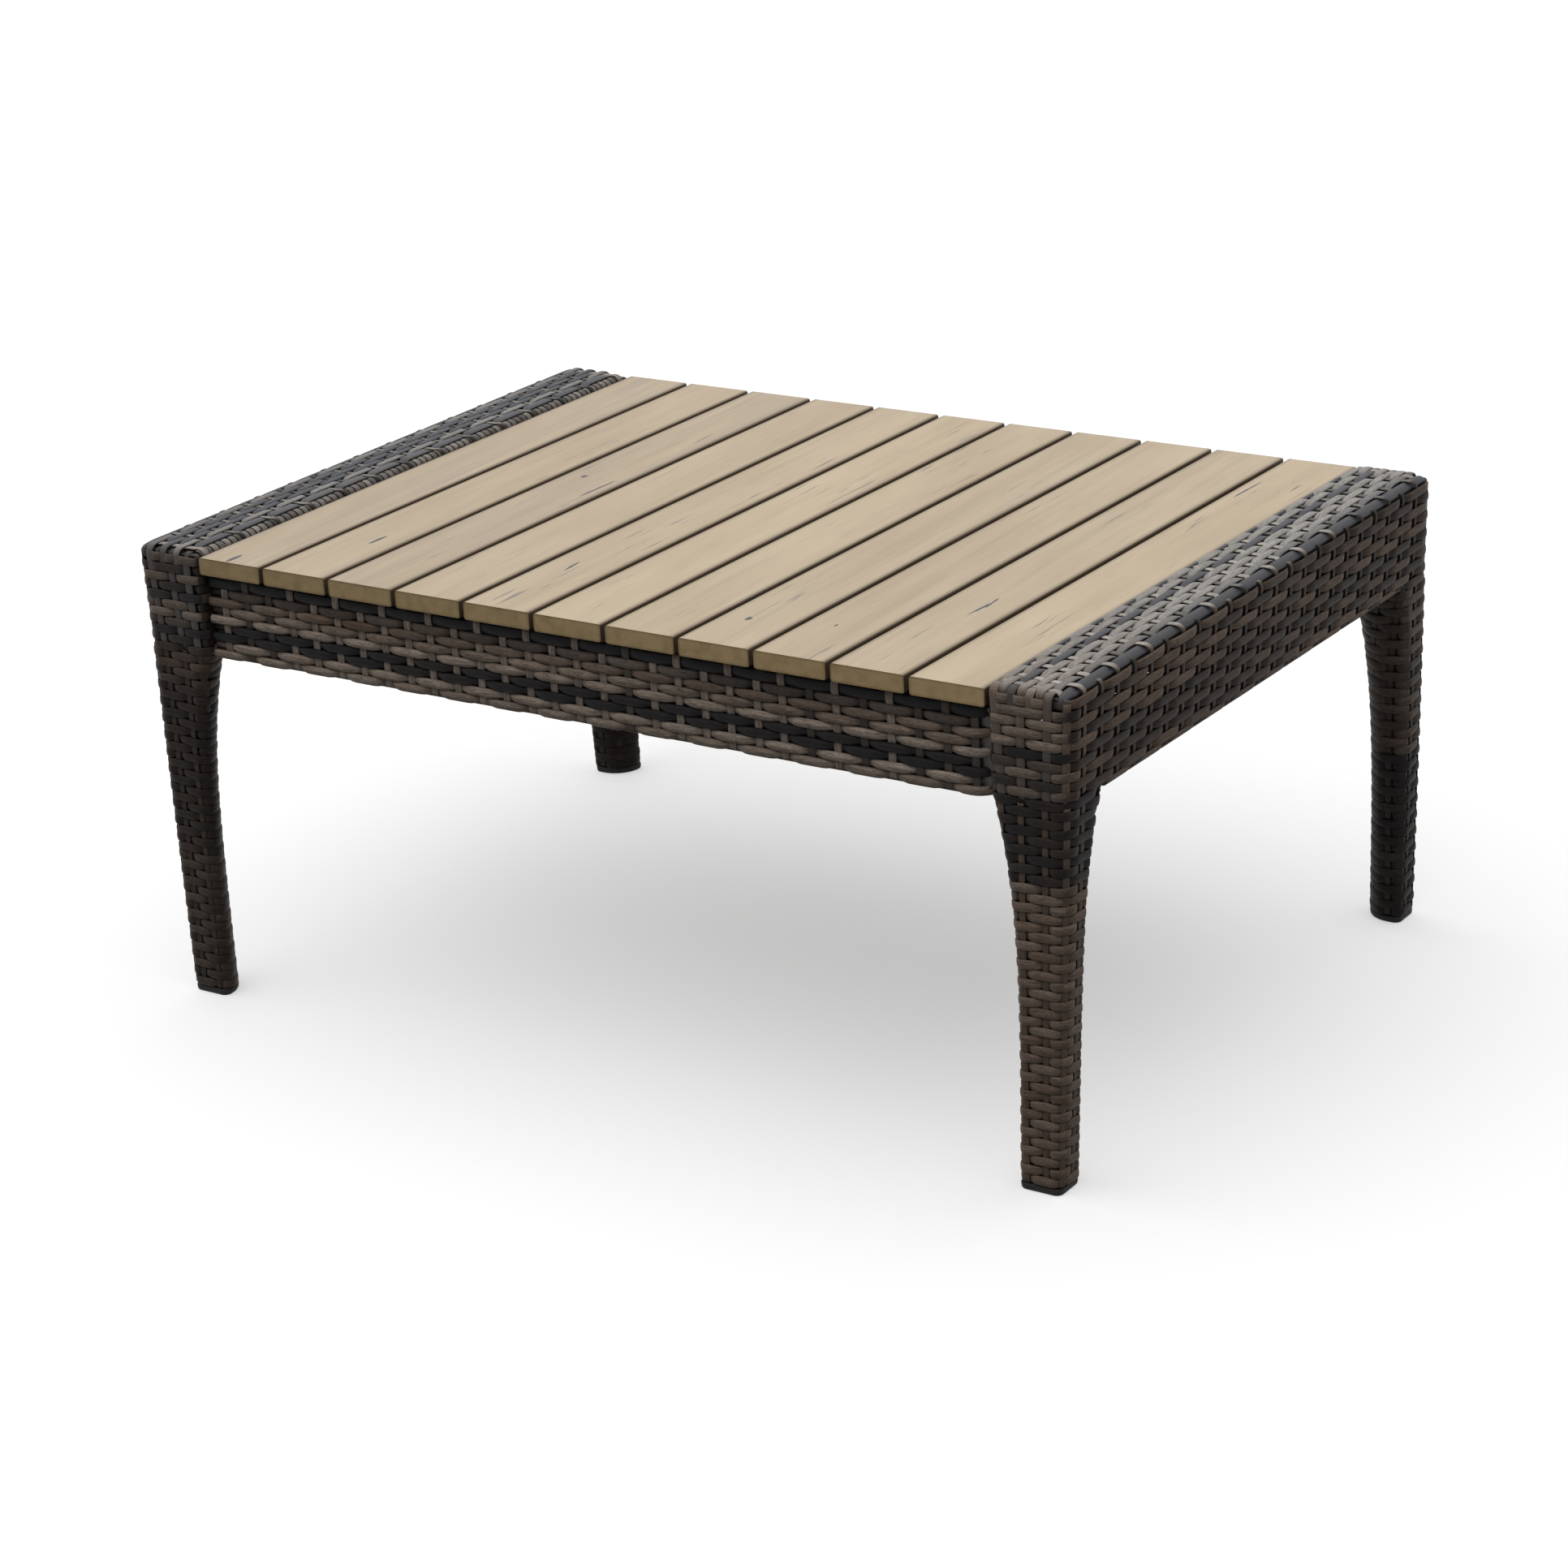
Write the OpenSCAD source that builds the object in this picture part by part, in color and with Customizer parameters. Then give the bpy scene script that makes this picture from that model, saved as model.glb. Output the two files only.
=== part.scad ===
// Wicker coffee table: a slatted top between two woven side frames that end in flared legs,
// with a woven apron in front and behind. Millimetres, +X along the front, +Y to the back,
// +Z up, origin on the floor under the middle of the table.

/* [Table] */
// Width over the side rails at their top
table_w = 910; // [895:1:925]
// Depth over the slats and the side rails
table_d = 626; // [610:1:650]
// Height of the side rails above the floor
table_h = 408; // [390:1:430]

/* [Slats] */
// Width of one slat
slat_w = 65.5; // [63:0.5:66]
// Gap between two slats
slat_gap = 4.5; // [4:0.5:5.5]
// Thickness of a slat
slat_t = 15; // [13:0.5:18]
// How far the slats lie below the tops of the side rails
slat_drop = 3.5; // [2:0.5:6]
// Rounding of a slat's long edges
slat_r = 2; // [1:0.25:4]

/* [Side frames] */
// Height of a woven side rail
rail_h = 88; // [84:1:96]
// Gap between the last slat and the side rail
rail_gap = 1.25; // [1:0.25:3]
// Rounding of the rail's woven edges
rail_r = 8; // [5:0.5:9]
// How far each side leans in from the rail's top to the floor
side_lean = 17; // [5:1:20]
// How far each foot stands out to the front or the back
foot_splay = 4; // [0:1:6]
// Thickness of the woven skin
weave_t = 3.5; // [3:0.25:3.75]

/* [Legs] */
// Width of a foot seen from the front
foot_w = 38; // [37:0.5:42]
// Width of a foot seen from the side
foot_d = 33; // [33:0.5:38]
// Even growth of the front width from the foot to the rail
leg_swell = 6.5; // [0:0.5:10]
// Flare of the front width under the rail
flare_w = 22.5; // [15:0.5:22.5]
// Flare of the side width under the rail
flare_d = 23; // [15:0.5:25]
// Height of a foot cap below the weave
cap_h = 6; // [5:0.5:10]

/* [Aprons] */
// How far an apron stands back from the ends of the slats
apron_inset = 9; // [6:1:14]
// Thickness of an apron
apron_t = 26; // [26:0.5:30]
// How far an apron hangs below the side rails
apron_drop = 8; // [0:1:10]

/* [Frame tubes] */
// Outside of a square frame tube
tube_s = 18; // [16:1:18]
// Outside of a square leg tube
leg_tube_s = 20; // [18:1:20]
// Outside of a square slat carrier
carrier_s = 20; // [18:1:22]
// Distance between two slat carriers
carrier_pitch = 200; // [160:5:210]
// Wall of every tube
tube_wall = 1.5; // [1.25:0.25:2]

/* [Fasteners] */
// Diameter of a bracket bolt
bolt_d = 6; // [5:0.5:6]
// Diameter of a slat screw
screw_d = 4; // [3:0.5:4.5]
// Thickness of a bracket
bracket_t = 3; // [2:0.5:4]

/* [Hidden] */
$fn = 48;
slat_count = 11;
slat_pitch = slat_w + slat_gap;
slat_top = table_h - slat_drop;
slat_bottom = slat_top - slat_t;
slat_field = slat_count * slat_w + (slat_count - 1) * slat_gap;

// Room left between a tube and the woven skin round it
tube_room = 0.3;
// Room round a fastener in its hole
hole_room = 0.3;
// How far a cut reaches past the face it opens
cut_over = 1;
// Rounding of a tube's edges
tube_r = 2.5;

// The side rail's box
rail_in = slat_field / 2 + rail_gap;
leg_top = table_h - rail_h;
lean_angle = atan(side_lean / table_h);
end_y = table_d / 2;

// The leg's section: three tight corners, and the one that faces the middle fully rounded
leg_r = 7;
tight_steps = 3;
full_steps = 6;
ring_size = 3 * (tight_steps + 1) + full_steps + 1;
leg_levels = 12;
// How steeply both widths flare, and how the levels crowd towards the rail
flare_w_power = 4;
flare_d_power = 6;
level_power = 1.6;
leg_skin_room = 0.5;
leg_tube_off = weave_t + leg_skin_room + leg_tube_s / 2;
splay_angle = atan(foot_splay / leg_top * cos(lean_angle));
plug_h = 24;
plug_root = 1;
cap_inset = 0.3;

// Tube centres in a side frame
inner_tube_x = rail_in + weave_t + tube_room + tube_s / 2;
top_tube_z = table_h - weave_t - tube_room - tube_s / 2;
low_tube_z = leg_top + weave_t + tube_room + tube_s / 2;
rail_tube_len = table_d - 2 * (weave_t + tube_room);
end_tube_y = rail_tube_len / 2 - tube_s / 2;

// The apron's box, with its gaps to the slats above and to the side rails
apron_top_gap = 0.5;
apron_end_gap = 1.5;
apron_out = end_y - apron_inset;
apron_in = apron_out - apron_t;
apron_y = (apron_out + apron_in) / 2;
apron_low = leg_top - apron_drop;
apron_high = slat_bottom - apron_top_gap;
apron_len = 2 * (rail_in - apron_end_gap);
apron_r = 6;
apron_tube_len = apron_len - 2 * tube_room;
apron_top_z = apron_high - weave_t - tube_room - tube_s / 2;
apron_bottom_z = apron_low + weave_t + tube_room + tube_s / 2;
apron_mid_z = (apron_top_z + apron_bottom_z) / 2;
apron_post_x = apron_tube_len / 2 - tube_s / 2;

// Brackets, bolts and screws
carrier_ys = [-carrier_pitch, 0, carrier_pitch];
carrier_z = slat_bottom - carrier_s / 2;
carrier_end_gap = 1;
carrier_len = 2 * (rail_in - carrier_end_gap);
carrier_bracket_w = 30;
carrier_bracket_l = 27;
carrier_bracket_gap = 2;
corner_bracket_w = 34;
corner_bracket_gaps = [5, 15];
corner_bracket_z = [leg_top + corner_bracket_gaps[0], slat_bottom - corner_bracket_gaps[1]];
corner_bolt_offs = [12, 27];
corner_bolt_ys = [for (off = corner_bolt_offs) apron_in - off];
apron_bolt_off = 8;
apron_bolt_zs = [apron_mid_z - apron_bolt_off, apron_mid_z + apron_bolt_off];
side_bolt_ys = concat(corner_bolt_ys, -corner_bolt_ys, carrier_ys);
bolt_head_d = 10;
bolt_head_h = 4;
bolt_bite = 13;
bolt_len = bracket_t + weave_t + tube_room + bolt_bite;
nut_d = 9;
nut_len = 11;
screw_bite = 10;
screw_tip_room = 0.5;
screw_head_d = 8;
screw_head_h = 2.5;

SIDES = [["left", -1], ["right", 1]];
ENDS = [["front", -1], ["rear", 1]];
CARRIERS = ["front", "middle", "rear"];
SIDE_PIECES = ["outer_top_rail", "inner_top_rail", "outer_lower_rail", "inner_lower_rail",
    "front_post", "rear_post", "cross_tubes", "rail_weave"];
LEG_PIECES = ["leg_tube", "leg_gussets", "leg_weave", "foot_cap"];
APRON_PIECES = ["apron_top_tube", "apron_bottom_tube", "apron_posts", "apron_weave"];
function slat_name(i) = str("slat_", i < 10 ? "0" : "", i);
function carrier_name(i) = str("slat_carrier_", CARRIERS[i]);
function leg_name(e, s, piece) = str(e[0], "_", s[0], "_", piece);

slat_colour = [0.78, 0.69, 0.55];
weave_colour = [0.27, 0.24, 0.22];
tube_colour = [0.20, 0.17, 0.15];
cap_colour = [0.05, 0.05, 0.05];
steel_colour = [0.72, 0.72, 0.70];

// The side frames and the aprons are drawn at the back right and mirrored into place

module on_side(side) {
    mirror([side < 0 ? 1 : 0, 0, 0]) children();
}

module on_end(end) {
    mirror([0, end < 0 ? 1 : 0, 0]) children();
}

module rounded_box_2d(size, r) {
    square([size[0], size[1] - 2 * r], center = true);
    square([size[0] - 2 * r, size[1]], center = true);
    for (x = [-1, 1]) for (y = [-1, 1])
        translate([x * (size[0] / 2 - r), y * (size[1] / 2 - r)]) circle(r);
}

module tube_section(s) {
    bore = s - 2 * tube_wall;
    difference() {
        rounded_box_2d([s, s], tube_r);
        rounded_box_2d([bore, bore], tube_r - tube_wall / 2);
    }
}

module tube_along_x(length) {
    rotate([0, 90, 0]) linear_extrude(height = length, center = true) tube_section(tube_s);
}

module tube_along_y(length) {
    rotate([90, 0, 0]) linear_extrude(height = length, center = true) tube_section(tube_s);
}

module tube_along_z(length) {
    linear_extrude(height = length, center = true) tube_section(tube_s);
}

// Slats and what carries them

function slat_x(i) = (i - (slat_count + 1) / 2) * slat_pitch;

module slat(i) {
    color(slat_colour) translate([slat_x(i), 0, 0]) difference() {
        translate([0, 0, slat_bottom + slat_t / 2]) rotate([90, 0, 0])
            linear_extrude(height = table_d, center = true) rounded_box_2d([slat_w, slat_t], slat_r);
        for (y = carrier_ys) translate([0, y, slat_bottom - cut_over])
            cylinder(d = screw_d + 2 * hole_room, h = cut_over + screw_bite + screw_tip_room);
    }
}

module slat_carrier(y) {
    color(tube_colour) translate([0, y, carrier_z]) difference() {
        rotate([0, 90, 0]) linear_extrude(height = carrier_len, center = true) tube_section(carrier_s);
        for (i = [1 : slat_count]) translate([slat_x(i), 0, 0])
            cylinder(d = screw_d + 4 * hole_room, h = 2 * carrier_s, center = true);
    }
}

module slat_screws() {
    head_z = carrier_z - carrier_s / 2 - screw_head_h;
    color(steel_colour) for (i = [1 : slat_count]) for (y = carrier_ys) translate([slat_x(i), y, head_z]) {
        cylinder(d = screw_head_d, h = screw_head_h);
        cylinder(d = screw_d, h = screw_head_h + carrier_s + screw_bite);
    }
}

// A carrier bracket hangs from the carrier's end and is bolted to the rail's lower inner tube
module carrier_bracket() {
    shelf_z = carrier_z - carrier_s / 2 - bracket_t;
    foot_z = leg_top + carrier_bracket_gap;
    difference() {
        union() {
            translate([rail_in - carrier_bracket_l, -carrier_bracket_w / 2, shelf_z])
                cube([carrier_bracket_l, carrier_bracket_w, bracket_t]);
            translate([rail_in - bracket_t, -carrier_bracket_w / 2, foot_z])
                cube([bracket_t, carrier_bracket_w, shelf_z + bracket_t - foot_z]);
        }
        translate([rail_in, 0, low_tube_z]) rotate([0, 90, 0])
            cylinder(d = bolt_d + 2 * hole_room, h = 4 * bracket_t, center = true);
    }
}

module carrier_brackets() {
    color(tube_colour) for (s = SIDES) for (y = carrier_ys)
        on_side(s[1]) translate([0, y, 0]) carrier_bracket();
}

// A corner bracket joins an apron's back to the inner face of a side rail
module corner_bracket() {
    height = corner_bracket_z[1] - corner_bracket_z[0];
    difference() {
        union() {
            translate([rail_in - corner_bracket_w, apron_in - bracket_t, corner_bracket_z[0]])
                cube([corner_bracket_w, bracket_t, height]);
            translate([rail_in - bracket_t, apron_in - corner_bracket_w, corner_bracket_z[0]])
                cube([bracket_t, corner_bracket_w, height]);
        }
        for (y = corner_bolt_ys) translate([rail_in, y, low_tube_z]) rotate([0, 90, 0])
            cylinder(d = bolt_d + 2 * hole_room, h = 4 * bracket_t, center = true);
        for (z = apron_bolt_zs) translate([apron_post_x, apron_in, z]) rotate([90, 0, 0])
            cylinder(d = bolt_d + 2 * hole_room, h = 4 * bracket_t, center = true);
    }
}

module corner_brackets() {
    color(tube_colour) for (s = SIDES) for (e = ENDS) on_side(s[1]) on_end(e[1]) corner_bracket();
}

// Bolts and nuts stand along +Z with the bracket's outer face at zero

module bolt() {
    translate([0, 0, -bolt_head_h]) cylinder(d = bolt_head_d, h = bolt_head_h);
    translate([0, 0, -bolt_head_h]) cylinder(d = bolt_d, h = bolt_head_h + bolt_len);
}

module rivet_nut() {
    translate([0, 0, bracket_t + weave_t + tube_room]) difference() {
        cylinder(d = nut_d, h = nut_len);
        translate([0, 0, -cut_over]) cylinder(d = bolt_d + 2 * hole_room, h = nut_len + 2 * cut_over);
    }
}

module at_every_bolt() {
    for (s = SIDES) on_side(s[1]) {
        for (y = side_bolt_ys) translate([rail_in - bracket_t, y, low_tube_z]) rotate([0, 90, 0]) children();
        for (e = ENDS) on_end(e[1]) for (z = apron_bolt_zs)
            translate([apron_post_x, apron_in - bracket_t, z]) rotate([-90, 0, 0]) children();
    }
}

module bracket_bolts() {
    color(steel_colour) at_every_bolt() bolt();
}

module rivet_nuts() {
    color(steel_colour) at_every_bolt() rivet_nut();
}

// Leg outline: the outer corner leans with the side, and both widths flare up to the rail

function out_x(z) = table_w / 2 - side_lean * (1 - z / table_h);
function out_y(z) = end_y + foot_splay * max(0, 1 - z / leg_top);
function leg_w(z) = foot_w + leg_swell * z / leg_top + flare_w * pow(z / leg_top, flare_w_power);
function leg_d(z) = foot_d + flare_d * pow(z / leg_top, flare_d_power);

function arc(cx, cy, r, start, steps) =
    [for (k = [0 : steps]) let (a = start + 90 * k / steps) [cx + r * cos(a), cy + r * sin(a)]];

// One section of a leg at height z, drawn in by inset
function leg_ring(z, inset) =
    let (w = leg_w(z), d = leg_d(z), ri = min(w, d) - leg_r, r = leg_r - inset)
    let (points = concat(
        arc(leg_r, leg_r, r, 180, tight_steps),
        arc(w - leg_r, leg_r, r, 270, tight_steps),
        arc(w - ri, d - ri, ri - inset, 0, full_steps),
        arc(leg_r, d - leg_r, r, 90, tight_steps)))
    [for (p = points) [out_x(z) - p[0], out_y(z) - p[1]]];

// Levels lie closer together towards the flare
function leg_level(k) = cap_h + (leg_top - cap_h) * (1 - pow(1 - k / leg_levels, level_power));

function ring_points(inset) =
    [for (k = [0 : leg_levels]) let (z = leg_level(k)) for (p = leg_ring(z, inset)) [p[0], p[1], z]];

function quad(a, b, c, d) = [[a, b, c], [a, c, d]];

module leg_weave() {
    inside = (leg_levels + 1) * ring_size;
    last = leg_levels * ring_size;
    sides = [for (k = [0 : leg_levels - 1]) for (j = [0 : ring_size - 1])
        let (a = k * ring_size + j, b = k * ring_size + (j + 1) % ring_size)
        each concat(
            quad(a, a + ring_size, b + ring_size, b),
            quad(inside + a, inside + b, inside + b + ring_size, inside + a + ring_size))];
    rims = [for (j = [0 : ring_size - 1]) let (a = j, b = (j + 1) % ring_size)
        each concat(
            quad(a, b, inside + b, inside + a),
            quad(last + a, inside + last + a, inside + last + b, last + b))];
    color(weave_colour)
        polyhedron(points = concat(ring_points(0), ring_points(weave_t)), faces = concat(sides, rims));
}

// What stands along the leaning leg axis, cut level at the bottom and the top
module along_leg(bottom, top) {
    intersection() {
        translate([out_x(0) - leg_tube_off, out_y(0) - leg_tube_off, 0])
            rotate([splay_angle, lean_angle, 0]) translate([0, 0, -tube_s])
            linear_extrude(height = table_h + tube_s) children();
        translate([0, 0, bottom]) cube([table_w, table_d + tube_s, top - bottom]);
    }
}

module leg_tube() {
    color(tube_colour) along_leg(cap_h, top_tube_z - tube_s / 2) tube_section(leg_tube_s);
}

// Room that the leg tube takes from a tube that butts against it, reach wide on either side
module leg_tube_room(reach_x, reach_y) {
    along_leg(cap_h, table_h) square([leg_tube_s + 2 * reach_x, leg_tube_s + 2 * reach_y], center = true);
}

// Two plates under the rail that hold the flare of the weave
module leg_gussets() {
    plate = 3;
    steps = 8;
    depth = 110;
    skin_room = 0.6;
    weld_room = 0.2;
    end_plate_in = 5.5;
    side_plate_in = 15;
    top = leg_top + weave_t + tube_room;
    skin = weave_t + skin_room;
    tube_in = leg_tube_off + leg_tube_s / 2 + weld_room;
    splay_in = tube_in + weld_room;
    zs = [for (k = [0 : steps]) leg_top - depth + depth * k / steps];
    color(tube_colour) {
        translate([0, end_y - end_plate_in, 0]) rotate([90, 0, 0])
            linear_extrude(height = plate) polygon(concat(
            [for (z = zs) [out_x(z) - leg_w(z) + skin, z]],
            [[out_x(leg_top) - leg_w(leg_top) + skin, top], [out_x(top) - tube_in, top]],
            [for (k = [steps : -1 : 0]) [out_x(zs[k]) - tube_in, zs[k]]]));
        translate([out_x(leg_top) - side_plate_in, 0, 0]) rotate([90, 0, 90])
            linear_extrude(height = plate) polygon(concat(
            [for (z = zs) [out_y(z) - leg_d(z) + skin, z]],
            [[out_y(leg_top) - leg_d(leg_top) + skin, top], [end_y - splay_in, top]],
            [for (k = [steps : -1 : 0]) [out_y(zs[k]) - splay_in, zs[k]]]));
    }
}

module foot_cap() {
    plug = leg_tube_s - 2 * tube_wall - 2 * tube_room;
    color(cap_colour) {
        linear_extrude(height = cap_h) polygon(leg_ring(0, cap_inset));
        along_leg(cap_h - plug_root, cap_h + plug_h) rounded_box_2d([plug, plug], tube_r - tube_wall / 2);
    }
}

// Side frame tubes

function outer_tube_x(z) = out_x(z - tube_s / 2) - weave_t / cos(lean_angle) - tube_room - tube_s / 2;

module side_tube(x, z) {
    color(tube_colour) translate([x, 0, z]) tube_along_y(rail_tube_len);
}

module outer_lower_rail() {
    color(tube_colour) difference() {
        translate([outer_tube_x(low_tube_z), 0, low_tube_z]) tube_along_y(2 * end_tube_y);
        for (e = ENDS) on_end(e[1]) leg_tube_room(tube_s, 0);
    }
}

module inner_lower_rail() {
    color(tube_colour) difference() {
        translate([inner_tube_x, 0, low_tube_z]) tube_along_y(rail_tube_len);
        for (y = side_bolt_ys) translate([inner_tube_x - tube_s / 2, y, low_tube_z]) rotate([0, 90, 0])
            cylinder(d = nut_d + 2 * hole_room, h = 4 * tube_wall, center = true);
    }
}

module side_post(end) {
    height = top_tube_z - low_tube_z - tube_s;
    color(tube_colour) translate([inner_tube_x, end * end_tube_y, (top_tube_z + low_tube_z) / 2])
        tube_along_z(height);
}

module cross_tubes() {
    from_x = inner_tube_x + tube_s / 2;
    to_x = outer_tube_x(top_tube_z) - tube_s / 2;
    color(tube_colour) {
        for (y = [-end_tube_y, 0, end_tube_y])
            translate([(from_x + to_x) / 2, y, top_tube_z]) tube_along_x(to_x - from_x);
        difference() {
            for (y = [-end_tube_y, end_tube_y])
                translate([(from_x + to_x) / 2, y, low_tube_z]) tube_along_x(to_x - from_x);
            for (e = ENDS) on_end(e[1]) leg_tube_room(0, tube_s);
        }
    }
}

// The rail's woven box: rounded on top and at both ends, open below where the legs come in

module rail_section() {
    polygon([[rail_in, leg_top], [rail_in, table_h], [table_w / 2, table_h], [out_x(leg_top), leg_top]]);
}

module rail_hollow_section() {
    slope = weave_t / cos(lean_angle);
    low = leg_top + weave_t;
    high = table_h - weave_t;
    polygon([
        [rail_in + weave_t, low],
        [rail_in + weave_t, high],
        [out_x(high) - slope, high],
        [out_x(low) - slope, low]
    ]);
}

module rail_weave() {
    mid_x = (rail_in + table_w / 2) / 2;
    width = table_w / 2 - rail_in;
    color(weave_colour) difference() {
        intersection() {
            rotate([90, 0, 0]) linear_extrude(height = table_d, center = true) rail_section();
            rotate([90, 0, 0]) linear_extrude(height = table_d, center = true)
                translate([mid_x, leg_top]) rounded_box_2d([width, 2 * rail_h], rail_r);
            translate([mid_x, 0, leg_top]) linear_extrude(height = rail_h)
                rounded_box_2d([width, table_d], rail_r);
            rotate([90, 0, 90]) linear_extrude(height = table_w)
                translate([0, leg_top]) rounded_box_2d([table_d, 2 * rail_h], rail_r);
        }
        rotate([90, 0, 0])
            linear_extrude(height = table_d - 2 * weave_t, center = true) rail_hollow_section();
        for (e = ENDS) on_end(e[1]) translate([0, 0, leg_top - cut_over])
            linear_extrude(height = weave_t + 2 * cut_over) polygon(leg_ring(leg_top, weave_t));
        for (y = side_bolt_ys) translate([rail_in, y, low_tube_z]) rotate([0, 90, 0])
            cylinder(d = bolt_d + 2 * hole_room, h = 4 * weave_t, center = true);
    }
}

module side_piece(side, piece) {
    on_side(side) {
        if (piece == "outer_top_rail") side_tube(outer_tube_x(top_tube_z), top_tube_z);
        if (piece == "inner_top_rail") side_tube(inner_tube_x, top_tube_z);
        if (piece == "outer_lower_rail") outer_lower_rail();
        if (piece == "inner_lower_rail") inner_lower_rail();
        if (piece == "front_post") side_post(-1);
        if (piece == "rear_post") side_post(1);
        if (piece == "cross_tubes") cross_tubes();
        if (piece == "rail_weave") rail_weave();
    }
}

module leg_piece(end, side, piece) {
    on_side(side) on_end(end) {
        if (piece == "leg_tube") leg_tube();
        if (piece == "leg_gussets") leg_gussets();
        if (piece == "leg_weave") leg_weave();
        if (piece == "foot_cap") foot_cap();
    }
}

// Aprons: a tube ladder in a woven sleeve

module apron_tube(z) {
    color(tube_colour) translate([0, apron_y, z]) tube_along_x(apron_tube_len);
}

module apron_posts() {
    height = apron_top_z - apron_bottom_z - tube_s;
    color(tube_colour) difference() {
        for (x = [-apron_post_x, 0, apron_post_x])
            translate([x, apron_y, apron_mid_z]) tube_along_z(height);
        for (x = [-apron_post_x, apron_post_x]) for (z = apron_bolt_zs)
            translate([x, apron_y - tube_s / 2, z]) rotate([90, 0, 0])
            cylinder(d = nut_d + 2 * hole_room, h = 4 * tube_wall, center = true);
    }
}

module apron_weave() {
    height = apron_high - apron_low;
    color(weave_colour) difference() {
        translate([0, apron_y, apron_low + height / 2]) rotate([90, 0, 90])
            linear_extrude(height = apron_len, center = true) difference() {
                rounded_box_2d([apron_t, height], apron_r);
                square([apron_t - 2 * weave_t, height - 2 * weave_t], center = true);
            }
        for (x = [-apron_post_x, apron_post_x]) for (z = apron_bolt_zs)
            translate([x, apron_in, z]) rotate([90, 0, 0])
            cylinder(d = bolt_d + 2 * hole_room, h = 4 * weave_t, center = true);
    }
}

module apron_piece(end, piece) {
    on_end(end) {
        if (piece == "apron_top_tube") apron_tube(apron_top_z);
        if (piece == "apron_bottom_tube") apron_tube(apron_bottom_z);
        if (piece == "apron_posts") apron_posts();
        if (piece == "apron_weave") apron_weave();
    }
}

for (i = [1 : slat_count]) slat(i);
for (i = [0 : 2]) slat_carrier(carrier_ys[i]);
slat_screws();
carrier_brackets();
corner_brackets();
bracket_bolts();
rivet_nuts();
for (s = SIDES) for (p = SIDE_PIECES)
    side_piece(s[1], p);
for (e = ENDS) for (s = SIDES) for (p = LEG_PIECES)
    leg_piece(e[1], s[1], p);
for (e = ENDS) for (p = APRON_PIECES)
    apron_piece(e[1], p);
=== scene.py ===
"""Looks of the wicker coffee table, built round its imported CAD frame.
Metres, +X along the front, +Y to the back, +Z up, origin on the floor under the middle of the table."""

import math

import bpy
import numpy as np
from mathutils import Matrix


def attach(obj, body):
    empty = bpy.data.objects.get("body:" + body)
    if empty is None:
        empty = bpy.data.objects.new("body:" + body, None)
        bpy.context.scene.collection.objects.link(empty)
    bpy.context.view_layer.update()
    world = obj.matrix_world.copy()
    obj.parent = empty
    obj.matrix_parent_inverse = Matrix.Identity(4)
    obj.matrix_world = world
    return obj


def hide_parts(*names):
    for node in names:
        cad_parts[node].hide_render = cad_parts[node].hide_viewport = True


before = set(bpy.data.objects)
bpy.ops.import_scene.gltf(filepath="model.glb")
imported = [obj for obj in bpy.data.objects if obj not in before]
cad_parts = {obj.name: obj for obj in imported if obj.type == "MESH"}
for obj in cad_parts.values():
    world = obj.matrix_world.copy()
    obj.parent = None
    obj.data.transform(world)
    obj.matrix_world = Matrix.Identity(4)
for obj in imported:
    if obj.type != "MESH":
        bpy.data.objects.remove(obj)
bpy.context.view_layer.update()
MM = 0.001


# Frame tubes
# Square aluminium tubes, mitred and welded into two side frames and two apron ladders, with three
# loose carriers under the slats. All are powder coated in a very dark brown.


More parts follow.
